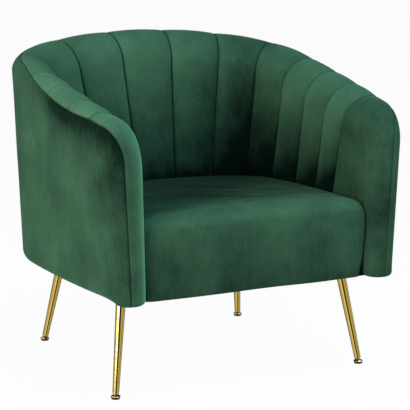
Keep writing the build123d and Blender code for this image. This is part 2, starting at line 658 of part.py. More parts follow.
def make_tee_nut():
    """Tee nut let into the base board from above."""
    flange = Pos(0, 0, BOARD_TOP) * Cylinder(
        NUT_FLANGE_RADIUS, NUT_FLANGE_THICK, align=(Align.CENTER, Align.CENTER, Align.MIN))
    barrel = Pos(0, 0, BOARD_TOP) * Cylinder(
        NUT_BARREL_RADIUS, NUT_BARREL, align=(Align.CENTER, Align.CENTER, Align.MAX))
    return flange + barrel - Pos(0, 0, BOARD_TOP) * Cylinder(BOLT_RADIUS + BOLT_FIT, BOARD_THICK * 4)


def make_stud(foot, axis):
    """Levelling stud: threaded shank, collar, neck and ball, turned in one piece."""
    lathe = Plane.XZ * make_face([
        ThreePointArc((0, -BALL_RADIUS), (BALL_RADIUS, 0), (NECK_RADIUS, math.sqrt(BALL_RADIUS**2 - NECK_RADIUS**2))),
        Polyline((NECK_RADIUS, math.sqrt(BALL_RADIUS**2 - NECK_RADIUS**2)), (NECK_RADIUS, NECK_LENGTH),
                 (COLLAR_RADIUS, NECK_LENGTH), (COLLAR_RADIUS, LEG_END), (STUD_RADIUS, LEG_END),
                 (STUD_RADIUS, LEG_END + STUD_LENGTH), (0, LEG_END + STUD_LENGTH), (0, -BALL_RADIUS))])
    return leg_frame(foot, axis) * revolve(lathe, Axis.Z)


def ball_socket():
    """Hollow that a glide has for the ball of its stud."""
    return Pos(0, 0, BALL_HEIGHT) * Sphere(BALL_RADIUS + BALL_FIT)


def make_glide_pad(foot):
    """Black tapered pad that stands on the floor."""
    pad = Cone(GLIDE_FOOT_RADIUS, GLIDE_RADIUS - FIT, PAD_HEIGHT, align=(Align.CENTER, Align.CENTER, Align.MIN))
    return Pos(foot.X, foot.Y, 0) * (pad - ball_socket())


def make_glide_cap(foot):
    """Brass-coloured domed cap over the pad, open at the top for the ball and neck."""
    rise = GLIDE_HEIGHT - PAD_HEIGHT
    lathe = Plane.XZ * make_face([
        Polyline((0, PAD_HEIGHT), (GLIDE_RADIUS, PAD_HEIGHT), (GLIDE_RADIUS, PAD_HEIGHT + rise * 0.3)),
        ThreePointArc((GLIDE_RADIUS, PAD_HEIGHT + rise * 0.3),
                      (GLIDE_RADIUS * 0.6 + GLIDE_CAP_TOP_RADIUS * 0.4, PAD_HEIGHT + rise * 0.82),
                      (GLIDE_CAP_TOP_RADIUS, GLIDE_HEIGHT)),
        Polyline((GLIDE_CAP_TOP_RADIUS, GLIDE_HEIGHT), (0, GLIDE_HEIGHT), (0, PAD_HEIGHT))])
    return Pos(foot.X, foot.Y, 0) * (revolve(lathe, Axis.Z) - ball_socket())


# Whole chair

def make_chair():
    """Every node of the chair by name."""
    nodes = {"outer_cover": make_outer_cover()}
    seams = list(zip(SEAMS, SEAM_LEANS, SEAM_PADDING))
    nodes["back_channel_middle"] = make_channel((-seams[0][0], -seams[0][1], seams[0][2]), seams[0])
    for number, (first, second) in enumerate(zip(seams, seams[1:]), start=1):
        channel = make_channel(first, second)
        nodes[f"channel_right_{number}"] = channel
        nodes[f"channel_left_{number}"] = mirror(channel, about=Plane.YZ)
    arm_front = make_arm_front()
    nodes["arm_front_right"] = arm_front
    nodes["arm_front_left"] = mirror(arm_front, about=Plane.YZ)

    nodes["base_board"] = make_base_board()
    nodes["back_rail"], nodes["arm_rail_left"], nodes["arm_rail_right"] = make_rails()
    posts = (("back", SEAMS[0]), ("corner", BACK_RUN + CORNER_RUN / 2), ("arm", SEAMS[4]),
             ("front", FRONT_RUN + ARM_NOSE - ARM_FRONT_PADDING - POST_WIDTH))
    for name, run in posts:
        nodes[f"{name}_post_right"] = make_post(run)
        nodes[f"{name}_post_left"] = make_post(-run)
    nodes["tack_panel"] = make_tack_panel()
    nodes["inner_panel"] = make_inner_panel()

    nodes["seat_cover"] = make_seat_cover()
    nodes["seat_foam"] = make_seat_foam()
    nodes["seat_felt"] = make_seat_felt()
    nodes["seat_webbing_long"] = make_long_webbing()
    nodes["seat_webbing_cross"] = make_cross_webbing()
    nodes["seat_rail_front"] = make_cross_rail(BOARD_FRONT)
    nodes["seat_rail_rear"] = make_cross_rail(REAR_RAIL_Y)
    nodes["seat_rail_right"] = make_side_rail(1)
    nodes["seat_rail_left"] = make_side_rail(-1)
    nodes["dust_cover"] = make_dust_cover()

    legs = list(leg_places())
    nodes["leg_plates"] = Compound([make_plate(foot, axis) for name, foot, axis in legs])
    nodes["leg_plugs"] = Compound([make_plug(foot, axis) for name, foot, axis in legs])
    nodes["leg_bolts"] = Compound([place * make_bolt() for place in bolt_places()])
    nodes["tee_nuts"] = Compound([place * make_tee_nut() for place in bolt_places()])
    for name, foot, axis in legs:
        nodes[f"leg_{name}"] = make_leg(foot, axis)
        nodes[f"glide_stud_{name}"] = make_stud(foot, axis)
        nodes[f"glide_cap_{name}"] = make_glide_cap(foot)
        nodes[f"glide_pad_{name}"] = make_glide_pad(foot)
    return nodes


os.makedirs("parts", exist_ok=True)
for node, shape in make_chair().items():
    export_step(shape, f"parts/{node}.step")
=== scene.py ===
"""Looks of a velvet tub armchair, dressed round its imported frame.

Metres, floor at z = 0, front towards -Y.
"""

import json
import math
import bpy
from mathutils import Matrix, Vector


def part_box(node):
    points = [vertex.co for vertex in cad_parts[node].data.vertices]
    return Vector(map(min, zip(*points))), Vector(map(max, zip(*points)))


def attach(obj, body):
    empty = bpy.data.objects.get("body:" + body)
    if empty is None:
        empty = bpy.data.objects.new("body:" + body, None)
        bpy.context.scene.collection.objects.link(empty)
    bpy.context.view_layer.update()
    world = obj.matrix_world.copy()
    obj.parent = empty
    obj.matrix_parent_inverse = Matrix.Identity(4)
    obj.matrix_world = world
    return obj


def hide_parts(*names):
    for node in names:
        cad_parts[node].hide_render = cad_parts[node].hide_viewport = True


bl_info = {
    "name": "Velvet Tub Armchair",
    "version": (1, 0, 0),
    "blender": (4, 5, 0),
    "location": "View3D > Sidebar > Armchair",
    "description": "Dresses a tub armchair in channelled velvet with brass-plated legs",
    "category": "Object",
}

import bmesh
import bpy
from mathutils import Vector, noise
from mathutils.kdtree import KDTree

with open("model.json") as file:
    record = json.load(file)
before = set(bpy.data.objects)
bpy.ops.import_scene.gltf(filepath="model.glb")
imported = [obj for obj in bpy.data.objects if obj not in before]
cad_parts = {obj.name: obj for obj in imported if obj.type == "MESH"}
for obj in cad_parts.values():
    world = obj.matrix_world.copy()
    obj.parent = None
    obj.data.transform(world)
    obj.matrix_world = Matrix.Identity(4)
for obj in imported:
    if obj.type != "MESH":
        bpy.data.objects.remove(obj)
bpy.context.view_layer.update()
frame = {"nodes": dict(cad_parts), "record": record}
UP = Vector((0, 0, 1))


# Sizes and colours that a user would change

def length(name, description, default):
    """A length in metres that the sidebar shows."""
    return bpy.props.FloatProperty(
        name=name, description=description, default=default, unit="LENGTH", precision=4)


def share(name, description, default):
    """A plain number that the sidebar shows."""
    return bpy.props.FloatProperty(name=name, description=description, default=default, precision=3)


def lengths(name, description, default):
    """A row of lengths, one for each seam or channel."""
    return bpy.props.FloatVectorProperty(
        name=name, description=description, default=default, size=len(default), unit="LENGTH", precision=4)


def colour(name, description, default):
    """A colour that the sidebar shows."""
    return bpy.props.FloatVectorProperty(
        name=name, description=description, default=default, size=3, subtype="COLOR", min=0.0, max=1.0)


class ArmchairWall(bpy.types.PropertyGroup):
    """Horseshoe wall of the back and arms."""

    width: length("Width", "Over the two outer faces", 0.752)
    depth: length("Depth", "Front of the arms to the outer back", 0.696)
    height: length("Height", "Crest of the rim at the middle of the back", 0.737)
    back_radius: length("Back radius", "Plan radius of the outer back", 0.9)
    corner_radius: length("Corner radius", "Plan radius of the rear corners", 0.195)
    side_radius: length("Side radius", "Plan radius of the arms' outer faces", 2.8)
    widest: length("Widest", "Distance of the widest place from the back", 0.298)
    thickness: length("Wall", "Outer face to inner face under the rim", 0.084)
    edge: length("Edge", "Outer rounding of the rim and the arm fronts", 0.032)
    inner_edge: length("Inner edge", "Inner rounding of the rim and the arm fronts", 0.05)
    inset: length("Foot inset", "How far the outer face leans in at its foot", 0.017)
    tuck: length("Tuck", "Turn of the cover under the base", 0.028)
    nose_tuck: length("Nose tuck", "Turn of the cover under the front of an arm", 0.01)
    crest: length("Crest", "Line along the rim on which lengths are measured, from the outer face", 0.042)
    slope: share("Rim slope", "Fall of the rim along the arms", 0.185)
    arch: length("Rim arch", "Length of rim each side of the middle that bends into the slope", 0.3)
    arm_corner: length("Arm corner", "Top front corner of an arm at its outer face, seen from the side", 0.09)
    inner_corner: length("Inner corner", "The same corner at the arm's inner face", 0.12)
    foot: length("Foot", "Underside of the upholstered body", 0.223)
    seat_level: length("Seat level", "Height at which the channels meet the seat", 0.395)


class ArmchairChannels(bpy.types.PropertyGroup):
    """Sewn channels, from the middle of the back to an arm front."""

    widths: lengths(
        "Widths", "Along the crest, the middle one first", (0.144, 0.133, 0.132, 0.142, 0.111, 0.102, 0.088))
    leans: lengths(
        "Leans", "Foot of each seam behind its top", (0.014, 0.034, 0.0, 0.006, 0.010, 0.024, 0.045))
    padding: lengths(
        "Padding", "Wall depth at the seat, at each seam", (0.160, 0.158, 0.148, 0.132, 0.126, 0.118, 0.108))
    rolls: lengths(
        "Rolls", "Wall depth under the rim, at each seam", (0.116, 0.114, 0.112, 0.110, 0.110, 0.108, 0.104))
    roll_height: length("Roll height", "How far down from the rim the padding rolls over", 0.085)
    sink: length("Sink", "Depth of a seam below the crown of its channels", 0.011)
    crease: length("Crease", "Further depth of the narrow crease at a seam", 0.0045)
    rim_sink: share("Rim sink", "Share of that depth left on the crest of the rim", 0.4)
    edge_sink: share("Edge sink", "Share of that depth left at the outer seam", 0.12)
    foot: length("Channel foot", "Lower end of a channel, behind the seat", 0.35)
    dip: length("Seam dip", "Depth of the groove along the outer seam", 0.0016)


class ArmchairSeat(bpy.types.PropertyGroup):
    """Tight seat with a crowned top."""

    half_front: length("Half width, front", "Half of the seat's width at its front", 0.281)
    half_rear: length("Half width, rear", "Half of the seat's width at its rear", 0.256)
    front: length("Front", "Fullest line of the front face", -0.323)
    rear: length("Rear", "Rear edge", 0.18)
    front_corner: length("Front corner", "Plan radius of the front corners", 0.038)
    rear_corner: length("Rear corner", "Plan radius of the rear corners", 0.114)
    crown: length("Crown", "Highest point of the seat", 0.409)
    crown_y: length("Crown place", "Where the highest point lies, front to back", -0.18)
    crown_radius: length("Crown radius", "Bend of the top", 4.2)
    edge: length("Edge", "Rounding of the upper edge", 0.038)
    full: length("Fullest height", "Height at which the front bulges most", 0.335)
    draw: length("Draw", "How far the foot of the front is drawn in", 0.012)
    side_draw: length("Side draw", "How far the foot of the sides is drawn in", 0.006)


class ArmchairLook(bpy.types.PropertyGroup):
    """Colours of the finishes."""

    velvet: colour("Velvet", "Pile standing open", (0.060, 0.150, 0.094))
    # Painted shade: a shaded copy of the velvet's colour, used where the painted light level is low.
    velvet_painted_shade: colour("Velvet shade", "Pile brushed away from the eye", (0.003, 0.0095, 0.0075))
    velvet_sheen: colour("Velvet sheen", "Tips of the pile seen edge on", (0.30, 0.66, 0.45))
    brass: colour("Brass", "Plated legs and caps", (0.80, 0.58, 0.14))
    black: colour("Black", "Glide pads", (0.012, 0.012, 0.013))
    thread: colour("Thread", "Sewing thread", (0.006, 0.026, 0.019))


# Shape of the wall

def circles_meeting(first, first_radius, second, second_radius):
    """The rear one of the two points where two circles cross."""
    span = second - first
    reach = (first_radius**2 - second_radius**2 + span.length**2) / (2 * span.length)
    rise = math.sqrt(first_radius**2 - reach**2)
    unit = span.normalized()
    aside = Vector((unit.y, -unit.x))
    both = (first + unit * reach + aside * rise, first + unit * reach - aside * rise)
    return max(both, key=lambda point: point.y)


def blend(one, other, part):
    """Straight change from one value to another."""
    return one + (other - one) * part


def clamp(value):
    """Value kept between 0 and 1."""
    return min(max(value, 0.0), 1.0)


def steps(first, last, count):
    """Evenly spaced values with both ends."""
    return [blend(first, last, step / count) for step in range(count + 1)]


def heading(angle):
    """Direction at an angle in degrees."""
    turn = math.radians(angle)
    return Vector((math.cos(turn), math.sin(turn)))


class Wall:
    """Plan, rim and sections of the wall; depths go inwards from the outer face."""

    def __init__(self, scene):
        self.size = scene.armchair_wall
        self.sewn = scene.armchair_channels
        size = self.size
        self.back_centre = Vector((0, size.depth / 2 - size.back_radius))
        self.side_centre = Vector((size.width / 2 - size.side_radius, size.depth / 2 - size.widest))
        self.corner_centre = circles_meeting(
            self.back_centre, size.back_radius - size.corner_radius,
            self.side_centre, size.side_radius - size.corner_radius)
        back = self.corner_centre - self.back_centre
        side = self.corner_centre - self.side_centre
        self.back_turn = math.atan2(back.x, back.y)
        self.corner_turn = math.atan2(side.x, side.y)
        self.back_run = (size.back_radius - size.crest) * self.back_turn
        self.corner_run = (size.corner_radius - size.crest) * (self.corner_turn - self.back_turn)
        self.seams = [self.sewn.widths[0] / 2]
        for width in self.sewn.widths[1:]:
            self.seams.append(self.seams[-1] + width)
        self.front_run = self.seams[-1]

    def station(self, run):
        """Point on the outer face in plan, with the outward and forward directions there."""
        size = self.size
        along = abs(run)
        side = -1 if run < 0 else 1
        if along <= self.back_run:
            centre, radius = self.back_centre, size.back_radius
            turn = along / (size.back_radius - size.crest)
        elif along <= self.back_run + self.corner_run:
            centre, radius = self.corner_centre, size.corner_radius
            turn = self.back_turn + (along - self.back_run) / (size.corner_radius - size.crest)
        else:
            centre, radius = self.side_centre, size.side_radius
            beyond = along - self.back_run - self.corner_run
            turn = self.corner_turn + beyond / (size.side_radius - size.crest)
        x = centre.x + radius * math.sin(turn)
        y = centre.y + radius * math.cos(turn)
        outward = Vector((side * math.sin(turn), math.cos(turn), 0))
        forward = Vector((side * math.cos(turn), -math.sin(turn), 0))
        return Vector((side * x, y, 0)), outward, forward

    def rim(self, run):
        """Height of the crest of the rim."""
        size = self.size
        bent = min(abs(run), size.arch)
        return size.height - size.slope * bent**2 / (2 * size.arch) - size.slope * (abs(run) - bent)

    def point(self, run, depth, height, lean=0.0):
        """Point in space of a section that may lean towards its foot; leans have the run's sign."""
        edge, outward, forward = self.station(run)
        rim = self.rim(run)
        behind = abs(lean) * (height - rim) / (rim - self.size.seat_level)
        return edge - outward * depth + forward * behind + UP * height

    def outer_depth(self, run, height):
        """Depth of the leaning outer face at a height."""
        size = self.size
        top = self.rim(run) - size.edge
        foot = size.foot + size.tuck
        part = (top - height) / (top - foot)
        return size.inset * clamp(part)

    def on_rim(self, run, angle, drop):
        """Depth and height of a point on the outer rounding of the rim, sunk by a drop."""
        edge = self.size.edge
        return on_arc((edge, self.rim(run) - edge), edge - drop, angle)


SEAM_ANGLE = 112.0         # place of the outer seam on the rounding of the rim, in degrees
SEAM_FALL = 50.0           # how much lower it runs along an arm
SEAM_WAVE = 0.75           # half waves in which it falls and rises again
SEAM_SPREAD = 10.0         # how far each side of it the groove reaches
FRONT_SEAM_LEFT = 112.0    # its place down the front of the left arm
FRONT_SEAM_RIGHT = 95.0    # and of the right arm, sewn nearer to the middle
ARC_STEPS = 9


def seam_angle(wall, run):
    """Place of the outer seam on the rounding of the rim, which falls and rises again along an arm."""
    start = wall.back_run + wall.corner_run
    part = clamp((abs(run) - start) / (wall.front_run - start))
    return SEAM_ANGLE + SEAM_FALL * math.sin(SEAM_WAVE * math.pi * part)


def seam_dip(wall, angle, seam):
    """How much the rounding is drawn in near the outer seam."""
    near = max(0.0, 1 - abs(angle - seam) / SEAM_SPREAD)
    return wall.sewn.dip * near**2


def sink_left(wall, angle, seam):
    """Share of a seam's depth left on the rounding of the rim, from the inner face to the outer seam."""
    if angle <= 90:
        return blend(1.0, wall.sewn.rim_sink, angle / 90)
    return blend(wall.sewn.rim_sink, wall.sewn.edge_sink, (angle - 90) / (seam - 90))


def on_arc(centre, radius, angle):
    """Point of an arc in a section."""
    turn = math.radians(angle)
    return (centre[0] + radius * math.cos(turn), centre[1] + radius * math.sin(turn))


# Unevenness of hand-laid padding: its height, and how fine it is
CHANNEL_EASE = (0.0012, 14.0)
FRONT_EASE = (0.001, 14.0)
COVER_EASE = (0.0012, 9.0)
SEAT_EASE = (0.0016, 7.0)


def soften(point, outward, ease, share=1.0):
    """Moves a point in or out by a share of an unevenness."""
    height, scale = ease
    return point + outward * (height * share * noise.noise(point * scale))


# Mesh making

WELD = 0.00015             # points closer than this become one
SETTLE_FRAMES = 14


def make_piece(name, grids, finish, round_rows=False, ends=False, caps=(), marks=()):
    """Smooth mesh through grids of points; rows may run round, and end rows and other loops may be filled.

    Velvet grids come with marks, which the finish reads: nearness to a seam, for painted shade there, and a
    level of painted light and shade.
    """
    mesh = bmesh.new()
    # Marks: painted shade at the seams, and a level of painted light and shade over the velvet.
    seam = mesh.verts.layers.float.new("seam")
    painted_light = mesh.verts.layers.float.new("painted_light")
    flat = []
    for number, rows in enumerate(grids):
        grid = [[mesh.verts.new(point) for point in row] for row in rows]
        for row, pairs in zip(grid, marks[number] if marks else ()):
            for vertex, pair in zip(row, pairs):
                vertex[seam], vertex[painted_light] = pair
        for lower, upper in zip(grid, grid[1:]):
            count = len(lower)
            for step in range(count if round_rows else count - 1):
                after = (step + 1) % count
                face = mesh.faces.new((lower[step], lower[after], upper[after], upper[step]))
                face.smooth = True
        if ends:
            flat.append(mesh.faces.new(grid[0]))
            flat.append(mesh.faces.new(grid[-1]))
    for loop in caps:
        flat.append(mesh.faces.new([mesh.verts.new(point) for point in loop]))
    for face in flat:
        for edge in face.edges:
            edge.smooth = False
    bmesh.ops.remove_doubles(mesh, verts=mesh.verts, dist=WELD)
    bmesh.ops.recalc_face_normals(mesh, faces=mesh.faces)
    data = bpy.data.meshes.new(name)
    mesh.to_mesh(data)
    mesh.free()
    piece = bpy.data.objects.new(name, data)
    bpy.context.scene.collection.objects.link(piece)
    data.materials.append(finish)
    return piece


def thicken(piece, thickness):
    """Gives an open skin its thickness, inwards."""
    skin = piece.modifiers.new("thickness", "SOLIDIFY")
    skin.thickness = thickness
    skin.offset = -1
    skin.use_even_offset = True


def settle(piece, held, pressure, gravity, most):
    """Lets Blender's cloth swell or sag a skin held at some points; no point moves further than most."""
    scene = bpy.context.scene
    start = [vertex.co.copy() for vertex in piece.data.vertices]
    fixed = piece.vertex_groups.new(name="held")
    fixed.add([number for number, point in enumerate(start) if held(point)], 1.0, "REPLACE")
    cloth = piece.modifiers.new("cloth", "CLOTH")
    cloth.settings.vertex_group_mass = fixed.name
    cloth.settings.use_pressure = pressure > 0
    cloth.settings.uniform_pressure_force = pressure
    cloth.settings.effector_weights.gravity = gravity
    cloth.point_cache.frame_end = SETTLE_FRAMES
    for moment in range(1, SETTLE_FRAMES + 1):
        scene.frame_set(moment)
    settled = piece.evaluated_get(bpy.context.evaluated_depsgraph_get()).data
    ends = [vertex.co.copy() for vertex in settled.vertices]
    piece.modifiers.remove(cloth)
    piece.vertex_groups.remove(fixed)
    scene.frame_set(1)
    for vertex, one, other in zip(piece.data.vertices, start, ends):
        shift = other - one
        vertex.co = one + shift * min(1.0, most / max(shift.length, WELD))


def path_length(points):
    """Length along a row of points."""
    return sum((other - one).length for one, other in zip(points, points[1:]))


def mirrored(rows):
    """The same rows on the other side of the chair."""
    return [[Vector((-point.x, point.y, point.z)) for point in row] for row in rows]


def dress(piece, slot, *nodes):
    """Hides the parts that a cover stands for, and makes it move with the chair."""
    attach(piece, "chair")
    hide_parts(*nodes)


# Channels of the inner back and arms

CHANNEL_COLUMNS = 28
FACE_ROWS = 18
FACE_PLACES = FACE_ROWS + 2 * ARC_STEPS + 3
HIDDEN_PLACES = 4
HIDDEN_DIPS = 4            # depth of a channel's hidden edge under the outer seam, in dips of that seam
CROWN_SHARE = 0.6          # share of a seam's depth that the round crown of a channel takes up
FLANK_NARROWNESS = 12      # the higher, the closer to the seam the rest of that depth lies
SEAM_NARROWNESS = 60       # the higher, the narrower the crease and the painted shade at a seam
# Painted shade at the outer seam.
OUTER_SEAM_SHADE = 0.8


def seam_shade(part):
    """How near a point across a channel is to a seam, for the crease and for the painted shade along the
    seam.
    """
    return abs(2 * part - 1) ** SEAM_NARROWNESS


def groove(sewn, part):
    """Depth across a channel: nothing at the crown, rounded towards the seams, and a narrow crease there."""
    across = abs(2 * part - 1)
    fall = CROWN_SHARE * across**2 + (1 - CROWN_SHARE) * across**FLANK_NARROWNESS
    return sewn.sink * fall + sewn.crease * seam_shade(part)


def channel_face(wall, run, padding, roll, sink):
    """Visible path of a channel section, from behind the seat over the rim to the outer seam."""
    size = wall.size
    rim = wall.rim(run)
    seam = seam_angle(wall, run)
    crest = size.thickness - size.inner_edge
    height = wall.sewn.roll_height
    path = [(padding - sink, wall.sewn.foot)]
    for part in steps(0, 1, FACE_ROWS):
        path.append((blend(padding, roll, part) - sink, blend(size.seat_level, rim - height, part)))
    for angle in steps(0, 90, ARC_STEPS)[1:]:
        left = sink * sink_left(wall, angle, seam)
        across, up = on_arc((0.0, 0.0), 1.0, angle)
        path.append((crest + (roll - crest - left) * across, rim - height + (height - left) * up))
    for angle in steps(90, seam, ARC_STEPS):
        drop = sink * sink_left(wall, angle, seam) + seam_dip(wall, angle, seam)
        path.append(wall.on_rim(run, angle, drop))
    return path


def channel_back(wall, run):
    """Hidden path of a channel section, from the outer seam down to its foot."""
    behind = wall.size.thickness / 2
    low = wall.rim(run) - behind
    under = wall.on_rim(run, seam_angle(wall, run), HIDDEN_DIPS * wall.sewn.dip)
    return [under, (behind / 2, low), (behind, low), (behind, wall.sewn.foot)]


# Painted light and shade of the channels, by the run along the crest; 0 is painted shade and 1 is painted
# light
CHANNEL_PAINTED_LIGHT = {
    # place: level, and its change in the rear corner, in the middle, on the left arm and on the right arm
    "foot": (0.02, -0.2, 0.0, 0.0, -0.2),
    "face": (0.64, -0.32, 0.15, 0.2, 0.2),
    "top": (0.66, -0.32, 0.0, 0.34, 0.06),
}
PAINTED_CORNER_SHADE = (0.31, 0.14)      # painted shade in the right rear corner: where it lies, and its reach
PAINTED_MIDDLE_LIGHT = (-0.15, 0.25)     # painted light beside the middle of the back
PAINTED_LIGHT_ARM = (0.3, 0.2)           # where the arms begin, and over which run their painted light changes
PAINTED_FLANKS = (0.2, 0.55)       # painted difference in light between a channel's two flanks, on the back and on the arms
PAINTED_LIGHT_RISE = 0.65                # the lower, the sooner the painted light grows above the seat
# Painted light level of the hidden places.
PAINTED_LIGHT_HIDDEN = 0.2


def patch(run, place):
    """How strongly a patch of painted light and shade shows at a run."""
    middle, reach = place
    return math.exp(-(((run - middle) / reach) ** 2))


def channel_painted_light(run, part):
    """Painted light along a channel: painted shade behind the seat and in the right rear corner, painted
    light towards the middle.
    """
    arm = clamp((abs(run) - PAINTED_LIGHT_ARM[0]) / PAINTED_LIGHT_ARM[1])
    left, right = (0.0, arm) if run > 0 else (arm, 0.0)
    shares = (1.0, patch(run, PAINTED_CORNER_SHADE), patch(run, PAINTED_MIDDLE_LIGHT), left, right)
    foot, face, top = [sum(level * share for level, share in zip(levels, shares)) for levels in CHANNEL_PAINTED_LIGHT.values()]
    # Painted light on one flank of each channel, painted shade on the other.
    flank = blend(*PAINTED_FLANKS, arm) * (0.5 - part)
    made = [foot]
    made += [blend(foot, face, rise**PAINTED_LIGHT_RISE) + flank for rise in steps(0, 1, FACE_ROWS)]
    made += [blend(face, top, rise) + flank * (1 - rise) for rise in steps(0, 1, ARC_STEPS)[1:]]
    made += [top] * (ARC_STEPS + 1)
    return made + [PAINTED_LIGHT_HIDDEN] * HIDDEN_PLACES


def channel_rows(wall, first, second, side=1):
    """Closed sections of one channel between two seams, each (run, lean, padding, roll), and their marks."""
    rows = []
    marks = []
    for column in range(CHANNEL_COLUMNS + 1):
        part = (1 - math.cos(math.pi * column / CHANNEL_COLUMNS)) / 2
        run, lean, padding, roll = [blend(one, other, part) for one, other in zip(first, second)]
        depth = groove(wall.sewn, part)
        share = max(0.0, 1 - depth / wall.sewn.sink)
        outward = wall.station(run)[1]
        row = []
        for place in channel_face(wall, side * run, padding, roll, depth):
            row.append(soften(wall.point(run, *place, lean), outward, CHANNEL_EASE, share))
        row += [wall.point(run, *place, lean) for place in channel_back(wall, side * run)]
        rows.append(row)
        pairs = [(seam_shade(part), painted_light) for painted_light in channel_painted_light(side * run, part)]
        pairs[FACE_PLACES - 1] = (OUTER_SEAM_SHADE, pairs[FACE_PLACES - 1][1])
        marks.append(pairs)
    return rows, marks


# Ends of the arms

TUCK_STEPS = 6
LOWER_ROWS = 22
CORNER_ROWS = 18
TOP_ROWS = 4
UPPER_ROWS = 12
FLAP = 0.6                 # where the stapled flap ends, from the tuck to the rounding of the edge


def tucked(tuck, edge):
    """Places (inset, rise) of a cover's turn under the base, from its flap to its foot."""
    made = [(inset, 0.0) for inset in steps(blend(tuck, edge, FLAP), tuck, 2)[:-1]]
    for turn in steps(90, 0, TUCK_STEPS):
        angle = math.radians(turn)
        made.append((tuck * (1 - math.cos(angle)), tuck * (1 - math.sin(angle))))
    return made


class ArmEnd:
    """Rounded end of the right arm in the plane of its front: depth in, v forwards, z up."""

    def __init__(self, wall):
        size = wall.size
        self.wall = wall
        self.edge, self.outward, self.forward = wall.station(wall.front_run)
        self.rim = wall.rim(wall.front_run)
        reach = self.edge.y - self.outward.y * size.edge - size.edge + size.depth / 2
        self.length = size.edge + reach / -self.forward.y
        self.centre_z = self.corner_z(size.arm_corner)
        self.top_turn = math.degrees(math.atan2(1, size.slope))

    def corner_z(self, corner):
        """Height of the centre of a top front corner of this radius."""
        slope = self.wall.size.slope
        return self.rim - slope * (self.length - corner) - corner * math.hypot(1, slope)

    def place(self, depth, v, z):
        """Point in space."""
        return self.edge - self.outward * depth + self.forward * v + UP * z

    def stations(self, first_normal, tuck, corner):
        """Places (v, z, inward v, inward z, inset) along the arm's edge, from under the front to the rim."""
        size = self.wall.size
        centre_v = self.length - corner
        centre_z = self.corner_z(corner)
        made = []
        for inset, rise in tucked(tuck, size.edge):
            made.append((self.length, size.foot + rise, -1.0, 0.0, inset))
        for z in steps(size.foot + tuck, centre_z, LOWER_ROWS)[1:]:
            made.append((self.length, z, -1.0, 0.0, 0.0))
        for turn in steps(0, self.top_turn, CORNER_ROWS)[1:]:
            way = heading(turn)
            made.append((centre_v + corner * way.x, centre_z + corner * way.y, -way.x, -way.y, 0.0))
        last = made[-1]
        for part in steps(0, 1, TOP_ROWS)[1:]:
            v = last[0] * (1 - part)
            turned = [blend(one, other, part) for one, other in zip(last[2:4], first_normal)]
            inward = Vector(turned).normalized()
            made.append((v, self.rim - size.slope * v, inward.x, inward.y, 0.0))
        return made

    def outer_edge(self, station):
        """Rounding (centre, reach across, reach down) of the arm's outer edge at a station."""
        edge = self.wall.size.edge
        lean = self.wall.outer_depth(self.wall.front_run, station[1] + station[3] * edge)
        return (edge + lean, edge, edge)


def cover_section(wall, end, run):
    """Section of the outer cover, from the flap under the base up to the outer seam."""
    size = wall.size
    rim = wall.rim(run)
    foot = size.foot + size.tuck
    row = []
    for inset, rise in tucked(size.tuck, size.edge):
        row.append(wall.point(run, size.inset + inset, size.foot + rise))
    heights = steps(foot, end.centre_z, LOWER_ROWS)[1:] + steps(end.centre_z, rim - size.edge, UPPER_ROWS)[1:]
    outward = wall.station(run)[1]
    share = min(1.0, (wall.front_run - abs(run)) / size.arm_corner)
    for height in heights:
        point = wall.point(run, wall.outer_depth(run, height), height)
        row.append(soften(point, outward, COVER_EASE, share))
    seam = seam_angle(wall, run)
    for angle in steps(180, seam, ARC_STEPS)[1:]:
        row.append(wall.point(run, *wall.on_rim(run, angle, seam_dip(wall, angle, seam))))
    return row


# Painted light level of the outer cover.
COVER_PAINTED_LIGHT = 0.52
COVER_PAINTED_SHADE = 0.78                # how much painted shade darkens the cover below the outer seam of the left arm
COVER_SHADE_START = 0.1           # front to back, where that starts, and over which distance it grows
COVER_SHADE_GROWTH = 0.25
COVER_SHADE_WIDTHS = (0.03, 0.085)     # its reach below the seam, at the middle of the arm and at its front
COVER_SHADE_SHARES = (0.2, 0.85)       # share of it left at the foot of the arm's front, and on the rim


def cover_marks(wall, line, rows):
    """Marks of the outer cover: painted shade below the outer seam of the left arm, and painted shade at the
    seam itself.
    """
    size = wall.size
    front_height = wall.rim(wall.front_run) - size.foot
    made = []
    for row in rows:
        pairs = []
        for point in row:
            away = line.find(point)[2]
            arm = clamp((COVER_SHADE_START - point.y) / COVER_SHADE_GROWTH)
            width = blend(*COVER_SHADE_WIDTHS, clamp(-2 * point.y / size.depth))
            rise = clamp((point.z - size.foot) / front_height)
            dark = arm * blend(*COVER_SHADE_SHARES, rise**2) * math.exp(-((away / width) ** 2))
            # Painted shade, on the left arm only.
            pairs.append((0.0, COVER_PAINTED_LIGHT - (COVER_PAINTED_SHADE * dark if point.x < 0 else 0.0)))
        pairs[-1] = (OUTER_SEAM_SHADE, pairs[-1][1])
        made.append(pairs)
    return made


def cover_end(wall, end, front):
    """Rows of the outer cover round the front of an arm, from its side to the outer seam."""
    size = wall.size
    rows = []
    sides = end.stations((0.0, -1.0), size.tuck, size.arm_corner)
    noses = end.stations((0.0, -1.0), size.nose_tuck, size.arm_corner)
    for side, nose in zip(sides, noses):
        v, z, inward_v, inward_z, inset = nose
        corner = (v + inward_v * size.edge, z + inward_z * size.edge)
        base = (0.0, min(side[1], end.centre_z))
        row = []
        for part in steps(0, 1, UPPER_ROWS):
            late = part**2 if z < end.centre_z else part
            at_v = blend(base[0], corner[0], part)
            at_z = blend(base[1], corner[1], late)
            depth = wall.outer_depth(wall.front_run, at_z) + blend(side[4], inset, late)
            row.append(end.place(depth, at_v, at_z))
        seam = front_seam_angle(wall, nose, front)
        for angle in steps(180, seam, ARC_STEPS)[1:]:
            row.append(nose_point(end, nose, end.outer_edge(nose), angle, seam_dip(wall, angle, seam)))
        rows.append(row)
    return rows


